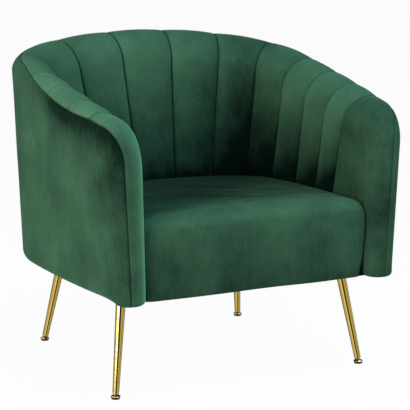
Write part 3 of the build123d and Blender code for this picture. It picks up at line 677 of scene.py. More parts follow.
def front_seam_angle(wall, station, front):
    """Place of the outer seam at a station of an arm's end, from the rim down to its place on the front."""
    return blend(front, seam_angle(wall, wall.front_run), station[3] ** 2)


def nose_point(end, station, rounding, angle, drop):
    """Point of a rounding of an arm's edge, at an angle from its inner face, sunk by a drop."""
    v, z, inward_v, inward_z, inset = station
    centre, across, down = rounding
    turn = math.radians(angle)
    depth = centre + (across - inset - drop) * math.cos(turn)
    fall = down - (down - inset - drop) * math.sin(turn)
    return end.place(depth, v + inward_v * fall, z + inward_z * fall)


ARM_SWELL = 0.05           # distance from the last seam over which the arm front swells to its full depth
FRONT_PAINTED_LIGHT = (0.55, 0.34)   # painted light of an arm's front, at its last seam and at its edge
EDGE_HIGHLIGHT_ANGLE = 28.0    # where the painted highlight on that edge is strongest, from the inner face
FRONT_HIGHLIGHT_RIGHT = (0.0, 0.2)  # painted highlight there and on the top, on the right arm
FRONT_HIGHLIGHT_LEFT = (1.7, 0.5)   # and on the left arm


def arm_front_rows(wall, end, front, edge_highlight, top_highlight):
    """Rows of the front channel of an arm, from its last seam round the front to the outer seam."""
    size = wall.size
    sewn = wall.sewn
    slope = sewn.leans[-1] / (end.rim - size.seat_level)
    length_up = math.hypot(1, slope)
    crest = size.thickness - size.inner_edge

    def seam_v(z):
        return -slope * (end.rim - z)

    def seam_depth(z):
        rise = (z - size.seat_level) / (end.rim - sewn.roll_height - size.seat_level)
        return blend(sewn.padding[-1], sewn.rolls[-1], clamp(rise))

    def face_depth(v, z):
        start = seam_v(z)
        part = (v - start) / (end.length - size.inner_edge - start)
        return blend(seam_depth(z), size.thickness, clamp(part))

    def across_front(distance):
        return 0.5 + clamp(1 - distance / ARM_SWELL) / 2

    def drop_at(v, z):
        return groove(sewn, across_front((v - seam_v(z)) / length_up))

    def shade_at(v, z):
        return seam_shade(across_front(v - seam_v(z)))

    rows = []
    marks = []
    normal = (-slope / length_up, -1 / length_up)
    apex_z = end.corner_z(size.inner_corner)
    inners = end.stations(normal, size.nose_tuck, size.inner_corner)
    outers = end.stations(normal, size.nose_tuck, size.arm_corner)
    for inner, outer in zip(inners, outers):
        v, z, inward_v, inward_z, inset = inner
        outer_edge = end.outer_edge(outer)
        edge = min(size.inner_edge, size.thickness - outer_edge[0] - WELD)
        forward = v / end.length
        down = blend(sewn.roll_height, edge, forward)
        middle = blend(crest, size.thickness - edge, forward)
        corner = (v + inward_v * down, z + inward_z * down)
        across = face_depth(*corner) - middle
        base = (seam_v(min(z, apex_z)), min(z, apex_z))
        row = []
        pairs = []
        for part in [step**2 for step in steps(0, 1, FACE_ROWS)]:
            at_v = blend(base[0], corner[0], part)
            at_z = blend(base[1], corner[1], part)
            pairs.append((shade_at(at_v, at_z), blend(*FRONT_PAINTED_LIGHT, math.sqrt(part))))
            point = end.place(face_depth(at_v, at_z) - drop_at(at_v, at_z) - inset, at_v, at_z)
            row.append(soften(point, end.outward, FRONT_EASE, part))
        drop = drop_at(v, z)
        shade = shade_at(v, z)
        seam = front_seam_angle(wall, outer, front)
        arcs = [(angle, (middle, across, down)) for angle in steps(0, 90, ARC_STEPS)[1:]]
        arcs += [(angle, outer_edge) for angle in steps(90, seam, ARC_STEPS)]
        for step, (angle, rounding) in enumerate(arcs):
            station = [blend(one, other, (step + 1) / len(arcs)) for one, other in zip(inner, outer)]
            left = drop * sink_left(wall, angle, seam) + seam_dip(wall, angle, seam)
            turn = angle / EDGE_HIGHLIGHT_ANGLE
            # Painted highlight along the arm's inner edge and over its top.
            light = edge_highlight * (turn * math.exp(1 - turn)) ** 2 + top_highlight * inward_z**2 * min(1.0, angle / 90)
            pairs.append((shade, FRONT_PAINTED_LIGHT[1] + light))
            row.append(nose_point(end, station, rounding, angle, left))
        rows.append(row)
        pairs[-1] = (OUTER_SEAM_SHADE, pairs[-1][1])
        marks.append(pairs)
    return rows, marks


# Seat

SEAT_SIDES = 60            # points along each long stretch of the outline
SEAT_FRONT_TURN = 12       # and round its corners
SEAT_REAR_TURN = 16
SEAT_RISE = 16             # loops up the sides and over the top
SEAT_TOP = 16
SEAT_MIDDLE = 0.04         # size of the last loop, as a share of the top
SEAT_GAP = 0.002           # clear of the base board
SEAT_HEM = 0.014           # turned in at the lower edge
SEAT_FRONT_WAY = -0.35     # outward direction's y up to which the cover runs down the front
SEAT_DRAW_POWER = 1.4      # the higher, the lower down the cover is drawn in
SEAT_EDGE_POWER = 6        # the higher, the nearer to the edge the top leaves its crown
SEAT_STAPLED = 0.012       # height over the base board up to which the cover is held
SEAT_SWELL = 0.003         # most that the padding swells
SEAT_PRESSURE = 1.5


def seat_outline(seat):
    """Plan of the seat's fullest line with outward directions, once round from the middle of the front."""
    taper = math.degrees(math.atan2(seat.half_front - seat.half_rear, seat.rear - seat.front))
    right = []
    front_centre = Vector((seat.half_front - seat.front_corner, seat.front + seat.front_corner))
    rear_centre = Vector((seat.half_rear - seat.rear_corner, seat.rear - seat.rear_corner))
    for x in steps(0, front_centre.x, SEAT_SIDES // 2)[:-1]:
        right.append((Vector((x, seat.front)), Vector((0, -1))))
    for way in map(heading, steps(-90, taper, SEAT_FRONT_TURN)[:-1]):
        right.append((front_centre + way * seat.front_corner, way))
    way = heading(taper)
    start = front_centre + way * seat.front_corner
    finish = rear_centre + way * seat.rear_corner
    for part in steps(0, 1, SEAT_SIDES)[:-1]:
        right.append((start.lerp(finish, part), way))
    for way in map(heading, steps(taper, 90, SEAT_REAR_TURN)[:-1]):
        right.append((rear_centre + way * seat.rear_corner, way))
    for x in steps(rear_centre.x, 0, SEAT_SIDES // 3):
        right.append((Vector((x, seat.rear)), Vector((0, 1))))
    left = [(Vector((-p.x, p.y)), Vector((-w.x, w.y))) for p, w in reversed(right[1:-1])]
    return right + left


def seat_height(seat, x, y):
    """Height of the crowned top."""
    return seat.crown - (x**2 + (y - seat.crown_y) ** 2) / (2 * seat.crown_radius)


def seat_rows(seat, board_top, foot):
    """Loops of the seat's cover from its lower edge over the rounded edge to the middle of the top."""
    outline = seat_outline(seat)
    middle = Vector((0, (seat.front + seat.rear) / 2))
    loops = []

    def loop(part, inset, lift):
        made = []
        for point, way in outline:
            front = max(0.0, -way.y)
            low = foot if way.y < SEAT_FRONT_WAY else board_top
            edge_height = seat_height(seat, point.x, point.y) - seat.edge
            z = blend(low, edge_height, part) + lift
            below = max(0.0, (seat.full - z) / (seat.full - foot))
            drawn = blend(seat.side_draw, seat.draw, front) * below**SEAT_DRAW_POWER
            place = point - way * (inset + drawn)
            made.append(Vector((place.x, place.y, z)))
        return made

    loops.append(loop(0.0, SEAT_HEM, 0.0))
    for part in steps(0, 1, SEAT_RISE):
        loops.append(loop(part, 0.0, 0.0))
    for turn in steps(0, 90, ARC_STEPS)[1:]:
        angle = math.radians(turn)
        loops.append(loop(1.0, seat.edge * (1 - math.cos(angle)), seat.edge * math.sin(angle)))
    rim = loops[-1]
    for part in steps(1, SEAT_MIDDLE, SEAT_TOP)[1:]:
        made = []
        for point in rim:
            flat = middle + (point.xy - middle) * part
            level = blend(seat_height(seat, *flat), point.z, part**SEAT_EDGE_POWER)
            made.append(Vector((flat.x, flat.y, level)))
        loops.append(made)
    return [[soften(point, UP, SEAT_EASE) for point in made] for made in loops]


# Painted light and shade of the seat
SEAT_LIGHT_REAR = -0.11
SEAT_LIGHT_EDGE = 0.48            # painted highlight on the top at its front edge
SEAT_LIGHT_FADE = 0.07            # distance over which that fades
SEAT_LIGHT_ROLL = 0.48            # on the front roll
SEAT_LIGHT_CREST = 0.22           # painted highlight on the middle of that roll
SEAT_LIGHT_FRONT = 0.56           # at the top of the front face
SEAT_LIGHT_FALL = 0.055           # change down that face, for each height of the roll
SEAT_LIGHT_FOOT = 0.36            # least on that face


def seat_painted_light(seat, point):
    """Painted light of the seat: painted highlight over the front roll, painted shade down the front and
    towards the rear.
    """
    back = point.y - seat.front - seat.edge
    if back > 0:
        return SEAT_LIGHT_REAR + SEAT_LIGHT_EDGE * math.exp(-back / SEAT_LIGHT_FADE)
    rise = (point.z - seat.crown) / seat.edge + 1
    if rise > 0:
        return SEAT_LIGHT_ROLL + SEAT_LIGHT_CREST * math.sin(math.pi * min(1.0, rise))
    return max(SEAT_LIGHT_FOOT, SEAT_LIGHT_FRONT + SEAT_LIGHT_FALL * rise)


STRIP_GAP = 0.0015         # clear of the front of the base board
STRIP_FLAP = 0.02          # stapled under the base
STRIP_BEVEL = 0.3          # how far the turn under the base is cut off
STRIP_RISE = 0.06          # above the base board
STRIP_LEAN = 0.006
STRIP_COLUMNS = 6


def gap_strip(scene):
    """Rows of the strip of cover between the seat and an arm, drawn under the front of the base."""
    wall = scene.armchair_wall
    seat = scene.armchair_seat
    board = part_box("base_board")
    front = board[0].y - STRIP_GAP
    turn = board[0].z - wall.foot
    bevel = STRIP_BEVEL * turn
    profile = [(front + STRIP_FLAP, wall.foot), (front + turn, wall.foot), (front + bevel, wall.foot + bevel)]
    profile += [(front, wall.foot + turn), (front, board[1].z), (front + STRIP_LEAN, board[1].z + STRIP_RISE)]
    near = seat.half_front - seat.side_draw - seat.front_corner / 2
    far = wall.width / 2 - wall.inset - wall.thickness + seat.side_draw
    return [[Vector((x, y, z)) for x in steps(near, far, STRIP_COLUMNS)] for y, z in profile]


# Dust cover under the base

DUST_COLUMNS = 96
DUST_ROWS = 80
DUST_FRONT_ROWS = 8
DUST_START = 0.02          # run along the crest at which the rows start
DUST_SAG = 0.007           # most that it sags
PLATE_RADIUS = 0.0324      # cut-outs round the leg plates
PLATE_REACH = 1.3          # share of that radius within which edges are drawn onto the circle
PLATE_HEM = 0.004          # stapled round the cut-outs
LEG_TOP = 0.001            # height of a leg's upper end in which its rim lies


def dust_rows(wall, cloth):
    """Rows of the dust cover across the underside, from its rear edge to its front."""
    low, high = cloth
    inset = wall.size.width / 2 - high.x
    edge = []
    for run in steps(DUST_START, wall.front_run, DUST_ROWS):
        place, outward = wall.station(run)[:2]
        edge.append(place - outward * inset)
    last = edge[-1]
    edge += [Vector((last.x, y, 0)) for y in steps(last.y, low.y, DUST_FRONT_ROWS)[1:]]
    return [[Vector((x, place.y, high.z)) for x in steps(-place.x, place.x, DUST_COLUMNS)] for place in edge]


def leg_tops():
    """Middle of each leg's upper end."""
    made = []
    for node in ("leg_front_left", "leg_front_right", "leg_rear_left", "leg_rear_right"):
        piece = frame["nodes"][node]
        points = [piece.matrix_world @ vertex.co for vertex in piece.data.vertices]
        highest = max(point.z for point in points)
        ring = [point for point in points if point.z > highest - LEG_TOP]
        made.append(sum(ring, Vector()) / len(ring))
    return made


def cut_round(piece, centres, radius):
    """Cuts round openings into a flat skin and draws their edges onto the circle."""
    mesh = bmesh.new()
    mesh.from_mesh(piece.data)
    inside = [face for face in mesh.faces
              if any((face.calc_center_median().xy - centre.xy).length < radius for centre in centres)]
    bmesh.ops.delete(mesh, geom=inside, context="FACES")
    for vertex in mesh.verts:
        for centre in centres:
            away = vertex.co.xy - centre.xy
            if vertex.is_boundary and away.length < PLATE_REACH * radius:
                vertex.co.xy = centre.xy + away.normalized() * radius
    mesh.to_mesh(piece.data)
    mesh.free()


# Sewing along the outer seam

STITCH_GAP = 0.0062
STITCH_LENGTH = 0.0034
STITCH_RADIUS = 0.0005
STITCH_SIDES = 6
UPRIGHT = 0.9              # upward part of a stitch's direction from which it counts as upright
# Place along a stitch, and share of its thickness there
STITCH_RINGS = ((-1.0, 0.25), (-0.8, 0.8), (-0.3, 1.0), (0.3, 1.0), (0.8, 0.8), (1.0, 0.25))
SEAM_RUNS = 120            # stretches of the seam round the back and arms


def front_seam(wall, end, front):
    """Points along the bottom of the outer seam of an arm's front, on the right side, from its foot up."""
    size = wall.size
    made = []
    for station in end.stations((0.0, -1.0), size.nose_tuck, size.arm_corner):
        seam = front_seam_angle(wall, station, front)
        made.append(nose_point(end, station, end.outer_edge(station), seam, wall.sewn.dip))
    return made


def seam_line(wall, end):
    """Points along the bottom of the outer seam, from the foot of one arm round to the other."""
    right = front_seam(wall, end, FRONT_SEAM_RIGHT)
    middle = []
    for run in steps(wall.front_run, -wall.front_run, SEAM_RUNS)[1:-1]:
        middle.append(wall.point(run, *wall.on_rim(run, seam_angle(wall, run), wall.sewn.dip)))
    left = mirrored([front_seam(wall, end, FRONT_SEAM_LEFT)])[0]
    return right + middle + left[::-1]


def nearest(points):
    """Search tree that finds the nearest of these points."""
    tree = KDTree(len(points))
    for index, point in enumerate(points):
        tree.insert(point, index)
    tree.balance()
    return tree


def evenly(points, gap):
    """Places and directions at even distances along a line of points."""
    made = []
    wanted = gap
    gone = 0.0
    for one, other in zip(points, points[1:]):
        span = other - one
        while wanted <= gone + span.length:
            made.append((one + span * ((wanted - gone) / span.length), span.normalized()))
            wanted += gap
        gone += span.length
    return made


def stitch_rows(place, along, radius, half):
    """Rings of points of one rounded stitch, from tip to tip."""
    side = along.cross(UP if abs(along.z) < UPRIGHT else Vector((0, 1, 0))).normalized()
    over = side.cross(along)
    rows = []
    for part, share in STITCH_RINGS:
        middle = place + along * (part * half)
        thick = radius * share
        ring = []
        for step in range(STITCH_SIDES):
            angle = math.tau * step / STITCH_SIDES
            ring.append(middle + side * (thick * math.cos(angle)) + over * (thick * math.sin(angle)))
        rows.append(ring)
    return rows


# Finishes

class Shade:
    """A shader value that the usual operators work on."""

    def __init__(self, graph, socket):
        self.graph = graph
        self.socket = socket

    def maths(self, operation, one, other):
        return self.graph.node("ShaderNodeMath", {"operation": operation}, {0: one, 1: other})

    def __add__(self, other):
        return self.maths("ADD", self, other)

    def __radd__(self, other):
        return self.maths("ADD", other, self)

    def __sub__(self, other):
        return self.maths("SUBTRACT", self, other)

    def __rsub__(self, other):
        return self.maths("SUBTRACT", other, self)

    def __mul__(self, other):
        return self.maths("MULTIPLY", self, other)

    def __rmul__(self, other):
        return self.maths("MULTIPLY", other, self)


class Graph:
    """Shader nodes of a material or of the world."""

    def __init__(self, owner):
        owner.use_nodes = True
        self.nodes = owner.node_tree.nodes
        self.links = owner.node_tree.links

    def give(self, socket, value):
        """Sets a socket to a number or colour, or links it."""
        if isinstance(value, Shade):
            self.links.new(value.socket, socket)
        else:
            socket.default_value = value

    def node(self, kind, settings=None, inputs=None, output=0):
        """Adds a node and returns one of its outputs."""
        made = self.nodes.new(kind)
        for key, value in (settings or {}).items():
            setattr(made, key, value)
        for key, value in (inputs or {}).items():
            self.give(made.inputs[key], value)
        return Shade(self, made.outputs[output])

    def seen_directly(self):
        """1 for rays from the camera, a mirror or glass."""
        kinds = ("Is Camera Ray", "Is Glossy Ray", "Is Transmission Ray")
        camera, mirror, glass = [self.node("ShaderNodeLightPath", output=kind) for kind in kinds]
        return camera + mirror + glass

    def show(self, part, one, other, end):
        """Sends a mix of two shaders to the last node."""
        both = self.node("ShaderNodeMixShader", {}, {0: part, 1: one, 2: other})
        self.give(self.nodes[end].inputs["Surface"], both)


class Finish(Graph):
    """A procedural material with a Principled shader."""

    def __init__(self, name):
        self.material = bpy.data.materials.new(f"{name}_finish")
        super().__init__(self.material)
        self.shader = self.nodes["Principled BSDF"]

    def object_place(self, stretch=(1, 1, 1)):
        """Place on the object, stretched by axis."""
        place = self.node("ShaderNodeTexCoord", output="Object")
        return self.node("ShaderNodeMapping", {}, {"Vector": place, "Scale": stretch})

    def noise(self, place, scale, detail, rough):
        """Soft random pattern from 0 to 1."""
        return self.node("ShaderNodeTexNoise", {},
                         {"Vector": place, "Scale": scale, "Detail": detail, "Roughness": rough})

    def band(self, value, low, high):
        """Spreads the part of a pattern between two values over 0 to 1."""
        return self.node("ShaderNodeMapRange", {"interpolation_type": "SMOOTHSTEP"},
                         {"Value": value, "From Min": low, "From Max": high})

    def mix(self, part, one, other):
        """Mixes two colours."""
        return self.node("ShaderNodeMix", {"data_type": "RGBA"}, {0: part, 6: one, 7: other}, output=2)

    def bump(self, height, strength, distance):
        """Small relief."""
        return self.node("ShaderNodeBump", {}, {"Strength": strength, "Distance": distance, "Height": height})

    def surface(self, **sockets):
        """Sets the shader's sockets by name, with spaces written as underscores."""
        for key, value in sockets.items():
            self.give(self.shader.inputs[key.replace("_", " ")], value)
        return self.material


def opaque(tint):
    """A colour with full alpha."""
    return (*tint, 1.0)


def scaled(tint, factor):
    """A lighter or darker colour."""
    return tuple(min(1.0, part * factor) for part in tint)


# Patches, strokes and tufts of the velvet: how much they lighten or darken it, and their heights
VELVET_TONES = (0.8, 0.2, 0.6)
VELVET_HEIGHTS = (0.01, 0.0012, 0.00045)
VELVET_PAINTED_HIGHLIGHT = 1.9          # painted highlight: how much lighter than its colour the velvet gets where the painted light is full
SEAM_PAINTED_SHADE = 0.7           # how much of the velvet the painted shade at a seam covers
SEAM_SHADE_TONE = 0.3            # how dark that painted shade is, as a share of the velvet's painted shade


def make_velvet(look):
    """Cut velvet with a short pile; its colour carries painted shade where the painted light level is low, a
    painted highlight where it passes 1, and painted shade along the seams.
    """
    finish = Finish("velvet")
    place = finish.object_place()
    patches = finish.noise(place, scale=9.0, detail=4.0, rough=0.55)
    strokes = finish.noise(finish.object_place((90, 90, 14)), scale=1.0, detail=2.0, rough=0.5)
    tufts = finish.noise(place, scale=420.0, detail=2.0, rough=0.7)
    # Nearness to a seam, which carries painted shade.
    seam = finish.node("ShaderNodeAttribute", {"attribute_name": "seam"}, output="Fac")
    # Level of painted light and shade, with random pile tone added below.
    painted_light_and_pile_tone = finish.node("ShaderNodeAttribute", {"attribute_name": "painted_light"}, output="Fac")
    relief = 0.0
    for pattern, part, height in zip((patches, strokes, tufts), VELVET_TONES, VELVET_HEIGHTS):
        painted_light_and_pile_tone = painted_light_and_pile_tone + (pattern - 0.5) * part
        relief = relief + pattern * height
    # Painted shade: the velvet darkens towards its shaded copy where the painted light level is low.
    painted_shade_tone = finish.mix(painted_light_and_pile_tone, opaque(look.velvet_painted_shade), opaque(look.velvet))
    # Painted highlight: a lighter copy of the velvet where the painted light level passes 1.
    painted_highlight_tone = finish.mix(painted_light_and_pile_tone - 1.0, painted_shade_tone, opaque(scaled(look.velvet, VELVET_PAINTED_HIGHLIGHT)))
    # Painted shade along the seams.
    tone = finish.mix(seam * SEAM_PAINTED_SHADE, painted_highlight_tone, opaque(scaled(look.velvet_painted_shade, SEAM_SHADE_TONE)))
    return finish.surface(
        Base_Color=tone, Roughness=0.75 + tufts * 0.2, Specular_IOR_Level=0.0, Sheen_Weight=0.2,
        Sheen_Roughness=0.4, Sheen_Tint=opaque(look.velvet_sheen),
        Normal=finish.bump(relief, strength=1.0, distance=1.0))


TARNISH = 0.25             # how much of the brass it darkens
TARNISH_TONE = 0.6         # and how dark it is, as a share of the brass


def make_brass(look):
    """Bright yellow plating with fine polishing scratches and a little tarnish."""
    finish = Finish("brass_plate")
    place = finish.object_place()
    scratches = finish.noise(place, scale=300.0, detail=2.0, rough=0.6)
    tarnish = finish.band(finish.noise(place, scale=40.0, detail=4.0, rough=0.6), low=0.45, high=0.75)
    tone = finish.mix(tarnish * TARNISH, opaque(look.brass), opaque(scaled(look.brass, TARNISH_TONE)))
    return finish.surface(
        Base_Color=tone, Metallic=1.0, Roughness=0.07 + scratches * 0.06 + tarnish * 0.04)


def make_plain(name, tint, rough, scale, spread, stretch=(1, 1, 1), relief=0.0, metal=0.0):
    """Everyday finish with grain: two tones of one colour and a matching relief."""
    finish = Finish(name)
    place = finish.object_place(stretch)
    grain = finish.noise(place, scale, detail=5.0, rough=0.65)
    dark, light = [opaque(scaled(tint, 1 + change)) for change in (-spread, spread)]
    tone = finish.mix(finish.band(grain, low=0.3, high=0.7), dark, light)
    return finish.surface(
        Base_Color=tone, Roughness=rough + grain * 0.15, Metallic=metal,
        Normal=finish.bump(grain, relief, distance=0.0006))


PLAIN_FINISHES = {
    # slot: colour, roughness, grain scale, spread of tone, stretch of the grain, relief, metal
    "zinc_steel": ((0.26, 0.23, 0.17), 0.3, 220.0, 0.12, (1, 1, 1), 0.08, 1.0),
    "plywood": ((0.55, 0.38, 0.2), 0.6, 9.0, 0.25, (1, 14, 14), 0.15, 0.0),
    "fibreboard": ((0.2, 0.12, 0.06), 0.7, 420.0, 0.3, (1, 1, 1), 0.25, 0.0),
    "foam": ((0.75, 0.68, 0.42), 0.85, 700.0, 0.15, (1, 1, 1), 0.5, 0.0),
    "felt": ((0.1, 0.1, 0.095), 0.9, 500.0, 0.4, (1, 1, 1), 0.5, 0.0),
    "webbing": ((0.02, 0.019, 0.018), 0.8, 600.0, 0.35, (1, 0.2, 1), 0.5, 0.0),
    "dust_cloth": ((0.012, 0.012, 0.012), 0.85, 800.0, 0.4, (1, 1, 1), 0.4, 0.0),
}


def make_black(look):
    """Moulded black plastic with a fine grain."""
    return make_plain("black_plastic", look.black, rough=0.42, scale=600.0, spread=0.25, relief=0.12)


def make_thread(look):
    """Twisted sewing thread."""
    return make_plain("sewing_thread", look.thread, rough=0.6, scale=1500.0, spread=0.3, relief=0.3)


def finish_named(name):
    """A finish made once and shared."""
    found = bpy.data.materials.get(f"{name}_finish")
    if found:
        return found
    look = bpy.context.scene.armchair_look
    makers = {"velvet": make_velvet, "brass_plate": make_brass, "black_plastic": make_black,
              "sewing_thread": make_thread}
    if name in makers:
        return makers[name](look)
    return make_plain(name, *PLAIN_FINISHES[name])


def slot_of(node):
    """Material slot that the record gives a node."""
    for entry in frame["record"]["subparts"]:
        if entry["node"] == node:
            return entry["material_slot"]
    raise ValueError(f"no slot for {node}")


def coat(nodes):
    """Gives carried-over nodes their finishes."""
    for node in nodes:
        piece = frame["nodes"][node]
        finish = finish_named(slot_of(node))
        for slot in piece.material_slots:
            slot.material = finish


# Operators, one for each group of pieces

# Thickness of the skins
COVER_SKIN = 0.003
FRONT_SKIN = 0.006
STRIP_SKIN = 0.002
DUST_SKIN = 0.0008


class ARMCHAIR_OT_outer_cover(bpy.types.Operator):
    """Make the smooth velvet panel round the back and arms"""

    bl_idname = "armchair.outer_cover"
    bl_label = "Outer Cover"

    def execute(self, context):
        wall = Wall(context.scene)
        end = ArmEnd(wall)
        body = [cover_section(wall, end, run) for run in steps(-wall.front_run, wall.front_run, SEAM_RUNS)]
        right = cover_end(wall, end, FRONT_SEAM_RIGHT)
        left = cover_end(wall, end, FRONT_SEAM_LEFT)
        grids = [body, right, mirrored(left)]
        line = nearest(seam_line(wall, end))
        marks = [cover_marks(wall, line, rows) for rows in grids]
        piece = make_piece("velvet_outer_cover", grids, finish_named("velvet"), marks=marks)
        around = path_length([row[LOWER_ROWS] for row in body]) + 2 * (end.length + wall.size.edge)
        thicken(piece, COVER_SKIN)
        dress(piece, "velvet", "outer_cover")
        up = path_length(body[len(body) // 2])
        return {"FINISHED"}


class ARMCHAIR_OT_channels(bpy.types.Operator):
    """Make the sewn channels of the inner back and arms"""

    bl_idname = "armchair.channels"
    bl_label = "Channels"

    def execute(self, context):
        wall = Wall(context.scene)
        sewn = wall.sewn
        seams = list(zip(wall.seams, sewn.leans, sewn.padding, sewn.rolls))
        first = seams[0]
        self.add("back_channel_middle", *channel_rows(wall, (-first[0], -first[1], *first[2:]), first))
        for number, (one, other) in enumerate(zip(seams, seams[1:]), start=1):
            self.add(f"channel_right_{number}", *channel_rows(wall, one, other))
            rows, marks = channel_rows(wall, one, other, side=-1)
            self.add(f"channel_left_{number}", mirrored(rows), marks)
        return {"FINISHED"}

    def add(self, node, rows, marks):
        """One channel as its own padded piece."""
        velvet = finish_named("velvet")
        piece = make_piece(f"velvet_{node}", [rows], velvet, round_rows=True, ends=True, marks=[marks])
        dress(piece, "velvet", node)


class ARMCHAIR_OT_arm_fronts(bpy.types.Operator):
    """Make the front channels, which wrap the ends of the arms"""

    bl_idname = "armchair.arm_fronts"
    bl_label = "Arm Fronts"

    def execute(self, context):
        wall = Wall(context.scene)
        end = ArmEnd(wall)
        self.add("arm_front_right", *arm_front_rows(wall, end, FRONT_SEAM_RIGHT, *FRONT_HIGHLIGHT_RIGHT))
        rows, marks = arm_front_rows(wall, end, FRONT_SEAM_LEFT, *FRONT_HIGHLIGHT_LEFT)
        self.add("arm_front_left", mirrored(rows), marks)
        return {"FINISHED"}

    def add(self, node, rows, marks):
        """One arm front as its own padded piece."""
        piece = make_piece(f"velvet_{node}", [rows], finish_named("velvet"), caps=[rows[0]], marks=[marks])
        thicken(piece, FRONT_SKIN)
        dress(piece, "velvet", node)


class ARMCHAIR_OT_seat(bpy.types.Operator):
    """Make the tight crowned seat"""

    bl_idname = "armchair.seat"
    bl_label = "Seat"

    def execute(self, context):
        seat = context.scene.armchair_seat
        velvet = finish_named("velvet")
        board_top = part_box("base_board")[1].z + SEAT_GAP
        rows = seat_rows(seat, board_top, context.scene.armchair_wall.foot)
        marks = [[(0.0, seat_painted_light(seat, point)) for point in row] for row in rows]
        piece = make_piece("velvet_seat", [rows], velvet, round_rows=True, caps=[rows[-1]], marks=[marks])
        settle(piece, lambda point: point.z < board_top + SEAT_STAPLED,
               pressure=SEAT_PRESSURE, gravity=0.0, most=SEAT_SWELL)
        thicken(piece, COVER_SKIN)
        dress(piece, "velvet", "seat_cover", "seat_foam")
        strip = gap_strip(context.scene)
        # Painted shade: the strip takes the dark seam tone and no light, as the shadowed gap between seat and
        # arm.
        marks = [[(1.0, 0.0)] * len(row) for row in strip]
        strips = make_piece("velvet_gap_strips", [strip, mirrored(strip)], velvet, marks=[marks, marks])
        thicken(strips, STRIP_SKIN)
        dress(strips, "velvet")
        return {"FINISHED"}


class ARMCHAIR_OT_dust_cover(bpy.types.Operator):
    """Make the cloth stapled under the base"""

    bl_idname = "armchair.dust_cover"
    bl_label = "Dust Cover"

    def execute(self, context):
        wall = Wall(context.scene)
        low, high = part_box("dust_cover")
        rows = dust_rows(wall, (low, high))
        piece = make_piece("dust_cloth", [rows], finish_named("dust_cloth"))
        centres = leg_tops()
        cut_round(piece, centres, PLATE_RADIUS)
        border = rows[0] + rows[-1] + [row[end] for row in rows for end in (0, -1)]
        edges = {self.rounded(point) for point in border}
        settle(piece, lambda point: self.stapled(point, edges, centres),
               pressure=0.0, gravity=1.0, most=DUST_SAG)
        thicken(piece, -DUST_SKIN)
        dress(piece, "dust_cloth", "dust_cover")
        return {"FINISHED"}

    def stapled(self, point, edges, centres):
        """Whether a point lies on the cloth's edge or round a leg plate."""
        if self.rounded(point) in edges:
            return True
        return any((point.xy - centre.xy).length < PLATE_RADIUS + PLATE_HEM for centre in centres)

    def rounded(self, point):
        """A place in hundredths of a millimetre, to compare points by."""
        return tuple(round(part, 5) for part in point)


class ARMCHAIR_OT_sewing(bpy.types.Operator):
    """Make the stitches that close the outer seam"""

    bl_idname = "armchair.sewing"
    bl_label = "Seam Stitches"

    def execute(self, context):
        wall = Wall(context.scene)
        end = ArmEnd(wall)
        grids = []
        for place, along in evenly(seam_line(wall, end), STITCH_GAP):
            grids.append(stitch_rows(place, along, STITCH_RADIUS, STITCH_LENGTH / 2))
        piece = make_piece("seam_stitches", grids, finish_named("sewing_thread"), round_rows=True, ends=True)
        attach(piece, "chair")
        return {"FINISHED"}


class ARMCHAIR_OT_legs(bpy.types.Operator):
    """Finish the plated legs and their levelling glides"""

    bl_idname = "armchair.legs"
    bl_label = "Legs and Glides"

    def execute(self, context):
        coat([node for node in frame["nodes"] if node.startswith(("leg_front", "leg_rear", "glide_"))])
        return {"FINISHED"}


class ARMCHAIR_OT_frame_pieces(bpy.types.Operator):
    """Finish the frame, webbing, panels and fixings inside the chair"""

    bl_idname = "armchair.frame_pieces"
    bl_label = "Frame Pieces"

    def execute(self, context):
        coat([node for node in frame["nodes"] if slot_of(node) in PLAIN_FINISHES])
        return {"FINISHED"}


# Camera and studio, from the photograph's viewing angle
EYE = Vector((-1.6916, -3.3868, 1.0668))
GAZE = Vector((0.4456, 0.8760, -0.1846))
FOCAL_PIXELS = 1669.7
FRAME_PIXELS = 410.0
SENSOR = 36.0

WHITE = (1.0, 1.0, 1.0, 1.0)
AMBIENT = (0.92, 0.96, 1.0, 1.0)
AMBIENT_STRENGTH = 0.03
FLOOR_TINT = (0.86, 0.86, 0.86, 1.0)
FLOOR_REACH = 40.0
FLOOR_WHITE = 0.96         # how much of the floor shows plain white; the rest keeps a soft shadow

LAMPS = (
    # name, place, what it faces, size, power in watts, colour
    ("key", (-3.2, -1.2, 1.3), (0.0, 0.0, 0.4), 1.8, 130.0, (1.0, 0.95, 0.82)),
    ("fill", (2.0, -3.3, 1.5), (0.0, 0.0, 0.4), 1.8, 45.0, (1.0, 1.0, 0.92)),
    ("top", (0.6, -0.8, 2.8), (0.0, 0.0, 0.4), 1.8, 55.0, (0.6, 0.93, 1.0)),
)

# Ring of cards that gives the metal its streaks
CARDS = (
    # first and last angle round the chair from the camera, to the right, and brightness
    (-180.0, -122.0, 0.07),
    (-122.0, -78.0, 0.42),
    (-78.0, -62.0, 0.9),
    (-62.0, -44.0, 0.3),
    (-44.0, -22.0, 1.3),
    (-22.0, -6.0, 0.32),
    (-6.0, 20.0, 0.012),
    (20.0, 42.0, 0.34),
    (42.0, 56.0, 0.85),
    (56.0, 88.0, 0.26),
    (88.0, 114.0, 0.85),
    (114.0, 180.0, 0.08),
)
CARD_DISTANCE = 4.6
CARD_HEIGHT = 3.0
CARD_DEPTH = 12.0          # below the floor
CARD_STEPS = 12


